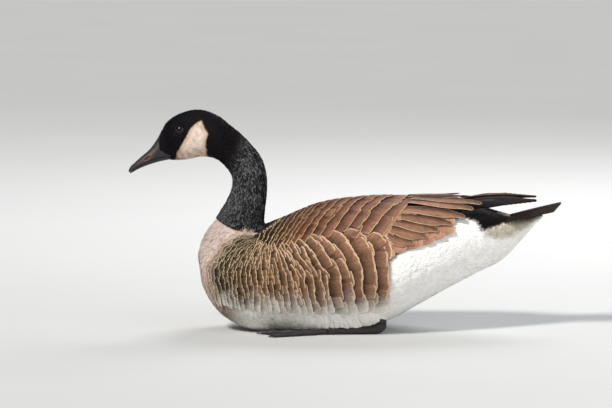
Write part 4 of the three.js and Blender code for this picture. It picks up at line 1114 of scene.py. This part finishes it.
def band_feathers(coat, line_of, side, look):
    """Adds a band of feathers along each tip line, front to back, each band over the next one's roots."""
    for k in range(look["bands"]):
        share = k / (look["bands"] - 1)
        wide, long, edge, high, tip = (
            np.interp(share, np.linspace(0, 1, len(look[key])), look[key])
            for key in ("wide", "long", "edge", "lift", "tip")
        )
        tips, line_way = along_line(line_of(side, k), wide * look["set"], (k % 2) * 0.5 + 0.15)
        n = len(tips)
        before = line_of(side, max(k, 1) - 1) if k else line_of(side, 1)
        shown = np.linalg.norm(tips[:, None] - before[None], axis=-1).min(axis=1)
        tips, normal = onto(BODY, tips)
        way = stray(np.cross(normal, line_way) * side * look["sense"], 0.05)
        length = long * vary(n, 0.06)
        back = look["ripple"] * wave(tips, 31, 17) + look["jitter"] * shown * rng.normal(0, 1, n) - length / 2
        root, _ = onto(BODY, tips + way * back[:, None])
        root, _ = onto(BODY, root - way * length[:, None] / 2)
        lift = [ROOT_DEPTH, high * vary(n, 0.08)]
        shape = (0.5, 0.97, tip)
        vanes = grown(BODY, root, way, length, 10, wide * vary(n, 0.12), 8, lift, 0.0, shape, 0.03 * wide, 0.08)
        tone = column(vary(n, 0.14) * (1 + 0.14 * wave(tips, 40, 23)))[..., None]
        edge_tone = column(vary(n, 0.12))[..., None]
        level = vanes["points"][..., 2] - column(7 * wave(tips, 29, 43))
        low = smooth(70 - level, 0, 50) ** 1.6
        ground = mix(between(look["ground"], share) * tone, BELLY_WHITE, low)
        fringe = mix(between(look["fringe"], share) * edge_tone, WHITE, low)
        # Painted shade: each band darkens past its shown length, under the tips of the band in front.
        dark = look["dark"] * smooth(k, -1, 4)  # nothing lies over the first bands
        shade = overlap_shade(vanes, shown, dark * (1 - 0.8 * low))
        coat.add(vanes, ground, fringe, edge * vary(n, 0.25), -0.14 * wide, 0.0, shade)


for side, name in SIDES:
    flank_coat = Coat()
    band_feathers(flank_coat, flank_line, side, FLANK_LOOK)
    flank_coat.make("flank_coat_" + name, "flank_plumage")
back_coat = Coat()
for side in (LEFT, RIGHT):
    band_feathers(back_coat, back_band_line, side, BACK_LOOK)
back_coat.make("back_coat", "back_plumage")


# Small body feathers, rooted on a coarse net over the trunk.
def body_way(p, normal):
    """The lie of the coat: down and back over the breast, back along the body, in towards the tail."""
    x, y, z = p.T
    down = smooth(-110 - x, 0, 60) * smooth(z, 20, 110)
    inward = -0.12 * np.sign(y) * smooth(x, 100, 200)
    way = np.stack([0.35 + smooth(x, -190, -100), inward, -1.3 * down + 0.25 * smooth(x, 60, 150)], -1)
    return unit(way - normal * (way * normal).sum(1, keepdims=True))


def under_bands(p):
    """Whether the bands of flank and back feathers, or the wings, cover points of the trunk."""
    x, y, z = p.T
    flank = (x > flank_front(z) + 6) & (x < vent_line(z) - 6) & (z > 42) & (z < back_line(x) + 2)
    back = (z >= back_line(x)) & (x > -112) & (x < 118)
    return flank | back


# For each coat: its slot, the net that it is rooted on, then length, width and tip's lift of its feathers,
# the tone of their fringe, how ragged they are, the length that shows, and how dark painted shade makes the
# rest.
SMALL_COATS = {
    "breast_coat": ("breast_plumage", 3.7, 11, 5.5, 0.0, 1.04, 0.3, 5, 0.06),
    "belly_coat": ("white_plumage", 5.2, 16, 11, 0.1, 1.05, 0.25, 7, 0.15),
    "vent_coat": ("white_plumage", 4.6, 20, 9, 0.15, 1.02, 0.25, 6, 0.06),
    "rump_coat": ("black_plumage", 4.6, 15, 8, 0.2, 1.6, 0.1, 7, 0.3),
}


def small_coats():
    """Breast, belly, vent and rump, each rooted on its own net over the trunk, in the markings' colours."""
    for name, (record_slot, net, long, wide, lift, fringe_tone, ragged, shown, dark) in SMALL_COATS.items():
        root, _ = remeshed(body_shells(), net)
        root, normal = onto(BODY, root + rng.uniform(-0.35, 0.35, root.shape) * net)
        x = root[:, 0]
        vent = x - vent_line(root[:, 2]) > -8
        front = (x < -100) & ~vent
        rump = vent & (rump_share(root) > 0.5)
        places = {"breast": front, "belly": ~front & ~vent, "vent": vent & ~rump, "rump": rump}
        pick = (collar_gap(root) > -1.5) & ~under_bands(root) & places[name.removesuffix("_coat")]
        root, normal = root[pick], normal[pick]
        n = len(root)
        way = stray(body_way(root, normal), 0.09)
        length = long * vary(n, 0.2)
        tilt = 0.1 * rng.choice([-1, 1], n)
        width = wide * vary(n, 0.15)
        heights = [ROOT_DEPTH, lift]
        vanes = grown(BODY, root, way, length, 4, width, 3, heights, tilt, BELLY_FEATHER, 0.2, ragged)
        ground = marked(vanes, 0.06)
        fringe = np.clip(ground * fringe_tone, 0, 0.95)
        coat = Coat()
        # Painted shade darkens each feather past the length that shows, under its neighbours' tips.
        coat.add(vanes, ground, fringe, 1.1, 0.4, 0.0, overlap_shade(vanes, shown, dark))
        coat.make(name, record_slot)


small_coats()


# The skirt: first and last x of a row and the step between feathers, each row's height over the keel, then
# the feathers' length and width.
SKIRT = {"from": -96, "to": 62, "step": 6.0, "above": (34, 28, 22, 16), "long": 25, "wide": 12}


def skirt():
    """The long loose belly feathers that hang to the floor over the folded feet."""
    roots, heads, flare = [], [], []
    for side in (LEFT, RIGHT):
        for row, above in enumerate(SKIRT["above"]):
            x = np.arange(SKIRT["from"] + SKIRT["step"] / 2 * (row % 2), SKIRT["to"], SKIRT["step"])
            z = section(TRUNK, x)[1] + above
            roots.append(hull(TRUNK, x, side * angle_at(TRUNK, x, z)))
            heads.append(np.array([0.45, 0, -1.0]) + 0 * roots[-1])
            flare.append(15 - 0.375 * above + 0 * x)
    root = np.concatenate(roots)
    n = len(root)
    root, _ = onto(BODY, root + rng.normal(0, 1, (n, 3)))
    way = stray(np.concatenate(heads), 0.07)
    length = SKIRT["long"] * vary(n, 0.15)
    loose = np.concatenate(flare) * smooth(root[:, 0], -100, -55) * (1 - smooth(root[:, 0], 30, 58))
    ground = BELLY_WHITE * vary(n, 0.06)[:, None]
    width = SKIRT["wide"] * vary(n, 0.15)
    lift = [ROOT_DEPTH, 0.5 + loose]
    vanes = grown(BODY, root, way, length, 8, width, 4, lift, 0.1, BELLY_FEATHER, 0.3, 0.4)
    coat = Coat()
    coat.add(vanes, ground, ground * 1.04, 1.1, 0.4)
    coat.make("skirt_coat", "white_plumage")


skirt()


# Folded wings.
# Long inner flight feathers, from the lowest up: tip x and z, root z, length and width.
TERTIALS = np.array([
    [89, 120, 131, 36, 20], [105, 128, 139, 46, 20], [121, 135, 147, 56, 20], [138, 142.5, 154, 66, 21],
    [155, 150, 162, 78, 22], [167, 158, 170, 86, 23], [178, 164.5, 172.6, 92, 23], [152, 172.5, 173.8, 70, 22],
], float)
# The coverts: first and last x, the steps along and up the wing, then length and width.
COVERTS = {"from": 18, "to": 112, "along": 8.5, "up": 7.0, "long": 30, "wide": 13}
# The outer flight feathers: root and tip of the lowest, the steps to the next, and how far the right wing's
# tips rise to lie over the left's.
PRIMARIES = {
    "root": (143, 27, 162.3), "root_step": np.array((1.0, -1.0, 0.8)), "tip": (212, 17, 165.5),
    "tip_step": np.array((6.2, -2.1, 0.5)), "over": 10, "count": 7, "wide": 13,
}
# The tail feathers: x and z of the middle pair's root and tip, then what each step outwards adds at the root
# and at the tip, and how much lower and shorter it makes the tip.
TAIL = {
    "root": (172, 136.5), "tip": (281, 166), "splay": 1.9, "spread": 4.5, "drop": 0.98, "short": 1.5,
    "count": 18, "wide": 15.5,
}


def on_wing(side, x, z):
    """Points of the folded wing at places and heights in the side view."""
    return hull(WING, x, side * angle_at(WING, x, z))


def wing_coverts(coat, side):
    """Adds the smooth small feathers over the folded wing's wrist and forearm."""
    roots = []
    for k, x in enumerate(np.arange(COVERTS["from"], COVERTS["to"], COVERTS["along"])):
        low = np.interp(x, [18, 36, 53, 76, 100, 112], [98, 106, 114, 122, 129, 134])
        high = np.interp(x, [18, 60, 112], [146, 158, 166])
        z = np.arange(low + COVERTS["up"] / 2 * (k % 2), high, COVERTS["up"])
        roots.append(on_wing(side, np.full(len(z), float(x)), z))
    root = np.concatenate(roots)
    n = len(root)
    root, normal = onto(WINGED, root + rng.normal(0, 0.7, (n, 3)))
    length = COVERTS["long"] * vary(n, 0.1)
    way = np.array([[1.0, 0, 0.12]]) + np.zeros((n, 3))
    up = np.sign(np.cross(normal, way)[:, 2])
    width = COVERTS["wide"] * vary(n, 0.1)
    vanes = grown(WINGED, root, way, length, 8, width, 6, [-1.8, 0.4], -0.15 * up, FEATHER, 0.3, 0.15)
    tone = vary(n, 0.12)[:, None]
    # Painted shade darkens each covert past the 9 mm that shows, under the next one.
    coat.add(vanes, COVERT * tone, COVERT_TIP * tone, 0.7, 0.1, 0.0, overlap_shade(vanes, 9, 0.25))


def wing_tertials(coat, side):
    """Adds the long inner flight feathers, each lying over the one below it."""
    x, z, root_z, long, wide = TERTIALS.T
    tip = on_wing(side, x, z)
    root, normal = onto(WINGED, on_wing(side, x - long, root_z))
    n = len(x)
    way = unit(tip - root)
    up = np.sign(np.cross(normal, way)[:, 2])
    rank = np.arange(n) / (n - 1)
    lift = [0.5 * rank, 1.8 + 1.4 * rank]
    vanes = grown(WINGED, root, way, long, 24, wide, 12, lift, -1.3 * up, (0.7, 0.35, 1.5), 0.5, 0.02)
    beside = vanes["vane"][..., 0] * column(up) + column(wide) / 2
    # Painted shade: each tertial darkens away from its lower edge, under the feather that lies over it.
    shade = 1 - 0.7 * smooth(beside, 6, 14)
    ground = mix(TERTIAL, TERTIAL_TOP, smooth(z, 160, 172)) * vary(n, 0.08)[:, None]
    coat.add(vanes, ground, TERTIAL_TIP * vary(n, 0.05)[:, None], 0.8, 0.8, 0.5, shade)


def primaries(side, name):
    """The long outer flight feathers of one wing, stacked over the rump, each a step longer than the one
    below it."""
    place = PRIMARIES
    far = side == RIGHT
    k = np.arange(place["count"])[:, None]
    root, tip = ((np.array(place[end]) + k * place[end + "_step"]) * [1, side, 1] for end in ("root", "tip"))
    if far:
        tip[:, 2] += place["over"] * (1 - 0.55 * k[:, 0] / (place["count"] - 1))
    n = len(root)
    length = np.linalg.norm(tip - root, axis=1)
    spines = straight(root, tip, 20, 1.5)
    vanes = spread(spines, length, place["wide"], 8, [0, 0], -4.4 * side, (0.6, 0.35, 1.6), 0.4, 0.02)
    # Painted light: the far wing's primaries are lit lighter and browner on top; the near wing's stay black.
    shade = mix(QUILL_BLACK, QUILL_LIT_BROWN, np.linspace(0.2, 0.65, n) if far else np.linspace(0, 0.03, n))
    coat = Coat()
    coat.add(vanes, shade, shade * (1.8 if far else 1.3), 0.5, 0.6, 0.45)
    coat.make("primary_feathers_" + name, "flight_plumage", "primaries_" + name)


def tail():
    """The fan of tail feathers, the middle pair on top."""
    place = TAIL
    k = np.arange(place["count"]) - (place["count"] - 1) / 2
    out = np.abs(k)
    root_x, root_z = place["root"]
    tip_x, tip_z = place["tip"]
    root = np.stack([root_x + 0 * k, k * place["splay"], root_z + 1.2 - out * 0.6], -1)
    tip_x = tip_x - place["short"] * np.maximum(0, out - 1.5)
    tip = np.stack([tip_x, k * place["spread"], tip_z - out * place["drop"]], -1)
    length = np.linalg.norm(tip - root, axis=1)
    spines = straight(root, tip, 22, 1.0)
    vanes = spread(spines, length, place["wide"], 8, [0, 0], -0.2 * np.sign(k), (0.5, 0.85, 2.2), 0.3, 0.03)
    coat = Coat()
    coat.add(vanes, mix(QUILL_BLACK, TAIL_BROWN, rng.random(len(k))), TAIL_EDGE, 0.9, 0.5, 0.4)
    coat.make("tail_feathers", "flight_plumage", "tail")


for side, name in SIDES:
    wing = Coat()
    wing_coverts(wing, side)
    wing_tertials(wing, side)
    wing.make("wing_feathers_" + name, "wing_plumage", "wing_" + name)
    primaries(side, name)
tail()


# Bill.
BILL_BASE = (-236.6, 237.9)
BILL_DROP = math.radians(36)
# Rows along the bill: mm along, ridge, underside, half width.
BILL = np.array([
    [-9, 17, -24, 13], [1, 12.3, -19, 12], [15.5, 7.6, -12.4, 11.5], [32.6, 6, -6.8, 10.4],
    [45, 4.5, -4.2, 8.6], [51.5, 2.6, -3.6, 6.2], [54.6, 0.4, -2.6, 3],
], float)
MOUTH_GAP = 0.5
MOUTH = np.array([[-12, -21], [0, -14.6], [10.8, -8.2], [23.6, -3.8], [38.7, -2.3], [57, -1.6]], float)
NOSTRIL = {"along": 24.5, "above": 0.4, "long": 9.5, "tall": 3.6, "deep": 2.4}


def bill_points(along, above, y):
    """Places along and above the bill's axis, turned down by the bill's drop and set at its base."""
    c, s = math.cos(BILL_DROP), math.sin(BILL_DROP)
    return np.stack([BILL_BASE[0] - along * c - above * s, y, BILL_BASE[1] - along * s + above * c], -1)


def bill_half(way, narrower, name, cad):
    """The upper (way 1) or lower (way -1) half of the bill. A section is drawn from lip to lip, with its
    height by the cosine and y by the sine to the power 0.8, and a low parabola closes it along the mouth. The
    nostril is a dent within an ellipse, and its rim stands out by a bell curve. The nail is a step up near
    the tip."""
    along, culmen, chin, half = spline(BILL, np.linspace(0, 1, 90) * (len(BILL) - 1)).T[:, :, None]
    middle, deep = (culmen + chin) / 2, (culmen - chin) / 2
    lips = np.interp(along, MOUTH[:, 0], MOUTH[:, 1]) + way * MOUTH_GAP / 2
    cut = np.arccos(np.clip((lips - middle) / deep, -0.985, 0.985))
    outer = np.linspace(-1, 1, 61)[None]
    turn = cut * outer if way > 0 else math.pi + (math.pi - cut) * outer
    above = middle + deep * np.cos(turn)
    y = half * narrower * power(np.sin(turn), 0.8)
    along = along + 0 * turn
    nostril_highlight = np.zeros(along.shape)
    if way > 0:
        dx = (along - NOSTRIL["along"]) / NOSTRIL["long"] * 2
        ring = np.hypot(dx, (above - NOSTRIL["above"]) / NOSTRIL["tall"] * 2)
        dent = NOSTRIL["deep"] * (1 - smooth(ring, 0.5, 1.05)) - 0.45 * np.exp(-(((ring - 1.25) / 0.22) ** 2))
        # Painted brown highlight about the nostril.
        nostril_highlight = 0.5 * np.exp(-((ring / 1.5) ** 2))
        y = y - np.sign(y) * dent * (np.abs(y) > 5)
        above = above + 0.45 * smooth(along, 44.5, 46.5) * (np.abs(y) < 5.5)
    inner = np.linspace(1, -1, 21)[None, 1:-1]
    palate = above[:, -1:] + way * 1.2 * (1 - inner**2)
    rings = [bill_points(along, above, y), bill_points(along[:, :19], palate, y[:, -1:] * inner)]
    points, quads = ring_body(np.concatenate(rings, 1))
    # The lower half is darkened to 0.65 by painted shade.
    horn = mix(HORN_BLACK, HORN_HIGHLIGHT_BROWN, nostril_highlight) * (1 if way > 0 else 0.65)
    inside = np.broadcast_to(HORN_BLACK, (len(horn), palate.shape[1], 3))
    shades, _ = ring_body(np.concatenate([horn, inside], 1))
    made = make_mesh(name, points, quads, bill_keratin, "bill_horn", True, ground=opaque(shades))
    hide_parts(cad)


def lores(coat, side):
    """Adds the lobe of velvet that runs forward over the base of the bill, in front of the eye. With h as the
    share of the bill's height, y is the half width times 1 less h squared, to the power 0.4."""
    above, along = np.meshgrid(np.arange(-17, 15, 1.3), np.arange(-12, 8, 1.6), indexing="ij")
    along = along + 0.8 * (np.arange(len(above)) % 2)[:, None]
    above, along = above.reshape(-1), along.reshape(-1)
    keep = along < np.interp(above, [-17, -9.6, -0.5, 7.7, 12, 15], [-2, 1, 5.5, 1.5, -3, -7])
    above, along = above[keep], along[keep]
    n = len(along)
    spine = []
    for step in np.linspace(0, 1, 4):
        at = along - 4.6 * step
        _, culmen, chin, half = (np.interp(at, BILL[:, 0], values) for values in BILL.T)
        turn = np.clip((above - (culmen + chin) / 2) / ((culmen - chin) / 2), -0.97, 0.97)
        spine.append(bill_points(at, above, side * half * (1 - turn**2) ** 0.4))
    spine = np.stack(spine, 1)
    way = unit(np.gradient(spine, axis=1))
    normal = unit(np.stack([0 * turn, side + 0 * turn, 0.8 * turn], -1))[:, None] + 0 * spine
    length = 4.6 * vary(n, 0.15)
    lift = [0.1, 0.6 * vary(n, 0.5)]
    vanes = spread((spine, normal, way), length, 2.4, 2, lift, 0.1, (0.7, 0.6, 2.0), 0, 0.3)
    ground = HEAD_BLACK * vary(n, 0.15)[:, None]
    coat.add(vanes, ground, ground * 1.4, 0.8, 0.2)


bill_half(1, 1.0, "bill_upper_horn", "bill_upper")
bill_half(-1, 0.88, "bill_lower_horn", "bill_lower")
lores_coat = Coat()
for side in (LEFT, RIGHT):
    lores(lores_coat, side)
lores_coat.make("lores_coat", "black_plumage")


# Eyes and lids.
def make_eye(side, name):
    """A glossy globe, which is a sphere by two angles, set in its socket along the head's own normal. Round
    it lies a thin lid, which is a torus 6 percent longer and 5 percent lower than a round one."""
    surface, normal = onto(BODY, (EYE * [1, side, 1])[None])
    out = unit(normal[0] + [-0.05, 0.3 * side, 0])
    across = unit(np.cross([0, 0, 1.0], out))
    axes = np.stack([across, np.cross(out, across), out])
    middle = surface[0] - out * (EYE_RADIUS - EYE_PROUD)
    turn = np.linspace(0, 2 * math.pi, 64, endpoint=False)
    turn, rise = np.meshgrid(turn, np.linspace(0.02, math.pi - 0.02, 40))
    ball = np.stack([np.sin(rise) * np.cos(turn), np.sin(rise) * np.sin(turn), np.cos(rise)], -1) * EYE_RADIUS
    points, quads = ring_body(ball)
    radius = np.hypot(points[:, 0], points[:, 1])[:, None] * [1, 0, 0]
    points = middle + points @ axes
    globe = make_mesh("eyeball_" + name, points, quads, eye_wet, "eye_surface", True, radius=radius)
    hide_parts("eye_" + name)
    turn, place = (np.linspace(0, 2 * math.pi, count, endpoint=False) for count in (72, 16))
    turn, place = np.meshgrid(turn, place, indexing="ij")
    reach = EYELID["middle"] + EYELID["half"] * np.cos(place)
    height = EYELID["height"] + EYELID["thick"] * np.sin(place)
    ring = np.stack([1.06 * reach * np.cos(turn), 0.95 * reach * np.sin(turn), height], -1)
    quads = ring_faces(*turn.shape, True)
    lower = smooth(-np.sin(turn), -0.6, 0.6)
    pale = mix(LID_DARK, LID_PALE, (smooth(np.sin(place - 0.5), 0.6, 0.95) * (0.25 + 0.75 * lower)).reshape(-1))
    points = middle + ring.reshape(-1, 3) @ axes
    make_mesh("lid_" + name, points, quads, lid_skin, "black_plumage", True, ground=opaque(pale))


for side, name in SIDES:
    make_eye(side, name)


# Feet, folded flat under the belly.
FOOT = {"x": -24, "y": 58, "toe": 88, "spread": 24, "half": 4.2, "web": 2.2}
# Shank from the foot back to the heel and up into the belly: x, y, z and radius.
SHANK = np.array([
    [-22, 58, 6, 6.6], [-4, 57, 5.6, 5.4], [30, 54.5, 6, 5.4], [41, 52.5, 8, 7.4], [46, 51, 13.5, 7.8],
    [37, 50, 28, 9.6], [20, 48, 44, 13],
], float)


def tube(line, radii, sides=20):
    """Points and quads of a round tube: round each point of a line, the radius times the cosine of the turn
    across it and times the sine up from it, kept above the floor."""
    way = unit(np.gradient(line, axis=0))
    across = unit(np.cross(way, [0, 0, 1.0]))
    up = np.cross(across, way)
    turn = np.linspace(0, 2 * math.pi, sides, endpoint=False)[None, :, None]
    rings = line[:, None] + radii[:, None, None] * (across[:, None] * np.cos(turn) + up[:, None] * np.sin(turn))
    rings[..., 2] = np.maximum(rings[..., 2], FLOOR_GAP["feet"])
    return ring_body(rings)


def toe(start, end, length):
    """A toe and its claw. The toe's radius falls evenly, and swells by a cosine at each knuckle. The claw is
    a low arc that narrows to a blunt point."""
    t = np.linspace(0, 1, 60)
    line = start + (end - start) * (t * 0.93)[:, None]
    line[:, 2] = 4.2 - 1.6 * t
    knuckle = 1 + 0.14 * np.cos(2 * math.pi * t * 3.5)
    c = np.linspace(0, 1, 14)
    claw = line[-1] + (end - start) / length * (9 * c)[:, None]
    claw[:, 2] = 2.6 + 1.6 * c * (1 - c) - 1.2 * c
    return tube(line, FOOT["half"] * (1.05 - 0.45 * t) * knuckle), tube(claw, 2.1 * (1 - c) ** 0.7 + 0.15, 12)


def web(start, a, b):
    """The skin between two toes, with t out along them and s from one to the other. Its free edge is drawn
    back by a parabola in s, and it is folded by a sine of s."""
    t, s = np.meshgrid(np.linspace(0.03, 0.93, 30), np.linspace(0, 1, 25), indexing="ij")
    t, s = t[..., None], s[..., None]
    flat = start + ((a - start) * (1 - s) + (b - start) * s) * t * (1 - 0.42 * s * (1 - s))
    flat[..., 2] = 1.4 + 0.25 * (np.sin(s * math.pi * 5) * t)[..., 0]
    half = np.array([0, 0, FOOT["web"] / 2])
    return ring_body(np.concatenate([flat + half, flat[:, ::-1] - half], 1))


def make_foot(side, name):
    """A webbed foot with its claws, and the shank laid back to the heel."""
    start = np.array([FOOT["x"], side * FOOT["y"], 4.5])
    ends, flesh, claws = [], [], []
    for k in (-1, 0, 1):
        length = FOOT["toe"] * (1 if k == 0 else 0.9 if k == side else 0.8)
        turn = math.radians(k * FOOT["spread"])
        ends.append(start + np.array([-math.cos(turn), math.sin(turn), 0]) * length)
        body, claw = toe(start, ends[-1], length)
        flesh.append(body)
        claws.append(claw)
    flesh += [web(start, ends[0], ends[1]), web(start, ends[1], ends[2])]
    line = spline(SHANK, np.linspace(0, 6, 70))
    flesh.append(tube(line[:, :3] * [1, side, 1], line[:, 3], 24))
    skin = make_mesh("foot_skin_" + name, *together(flesh), foot_leather, "web_skin", True)
    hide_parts("foot_" + name, "leg_" + name)
    make_mesh("claws_" + name, *together(claws), claw_horn, "web_skin", True)


for side, name in SIDES:
    make_foot(side, name)


# Studio: pale floor, soft light from the upper left front, and the camera at the photo's angle. Lights: place
# in metres, size, watts and colour. The key is a far, soft sun, from its place towards the bird.
KEY = {"place": (-1.1, -1.3, 1.9), "strength": 3.3, "width": math.radians(12), "colour": (1.0, 0.96, 0.9)}
LIGHTS = {
    "fill_light": ((1.6, -1.6, 1.0), 1.6, 16, (1.0, 1.0, 1.0)),
    "rim_light": ((0.7, 1.6, 1.7), 1.2, 34, (1.0, 1.0, 1.0)),
}
SKY = {"Color": (0.86, 0.9, 0.95, 1), "Strength": 0.33}
FLOOR_SIZE = 60
LIT = (0, 0, 0.14)  # the middle of the bird, which the lights point at
CAMERA = {"aim": (-0.0507, 0, 0.1634), "away": 6.0, "elevation": math.radians(6), "width": 0.7956}


def facing(place, target):
    """The turn that points a light or camera at a target."""
    return (Vector(target) - Vector(place)).to_track_quat("-Z", "Y").to_euler()


def hang(lamp, place):
    """Adds a lamp at a place, turned to the middle of the bird."""
    made = bpy.data.objects.new(lamp.name, lamp)
    made.location = place
    made.rotation_euler = facing(place, LIT)
    bpy.context.scene.collection.objects.link(made)


def make_studio():
    """Floor, world and lights."""
    bpy.ops.mesh.primitive_plane_add(size=FLOOR_SIZE)
    floor = bpy.context.object
    floor.name = "floor"
    floor.data.materials.append(pale_floor)
    world = bpy.data.worlds.new("studio")
    world.use_nodes = True
    fill(world.node_tree, world.node_tree.nodes["Background"], SKY)
    bpy.context.scene.world = world
    bpy.context.scene.view_settings.view_transform = "Standard"
    key = bpy.data.lights.new("key_light", "SUN")
    key.energy = KEY["strength"]
    key.angle = KEY["width"]
    key.color = KEY["colour"]
    hang(key, KEY["place"])
    for name, (place, size, watts, colour) in LIGHTS.items():
        lamp = bpy.data.lights.new(name, "AREA")
        lamp.size = size
        lamp.energy = watts
        lamp.color = colour
        hang(lamp, place)


def make_camera():
    """The camera level with the photo's, far off with a long lens."""
    lens = bpy.data.cameras.new("camera")
    lens.sensor_width = 36
    lens.lens = lens.sensor_width * CAMERA["away"] / CAMERA["width"]
    lens.clip_end = 100
    made = bpy.data.objects.new("camera", lens)
    tilt = CAMERA["elevation"]
    made.location = Vector(CAMERA["aim"]) + CAMERA["away"] * Vector((0, -math.cos(tilt), math.sin(tilt)))
    made.rotation_euler = facing(made.location, CAMERA["aim"])
    bpy.context.scene.collection.objects.link(made)
    bpy.context.scene.camera = made


make_studio()
make_camera()
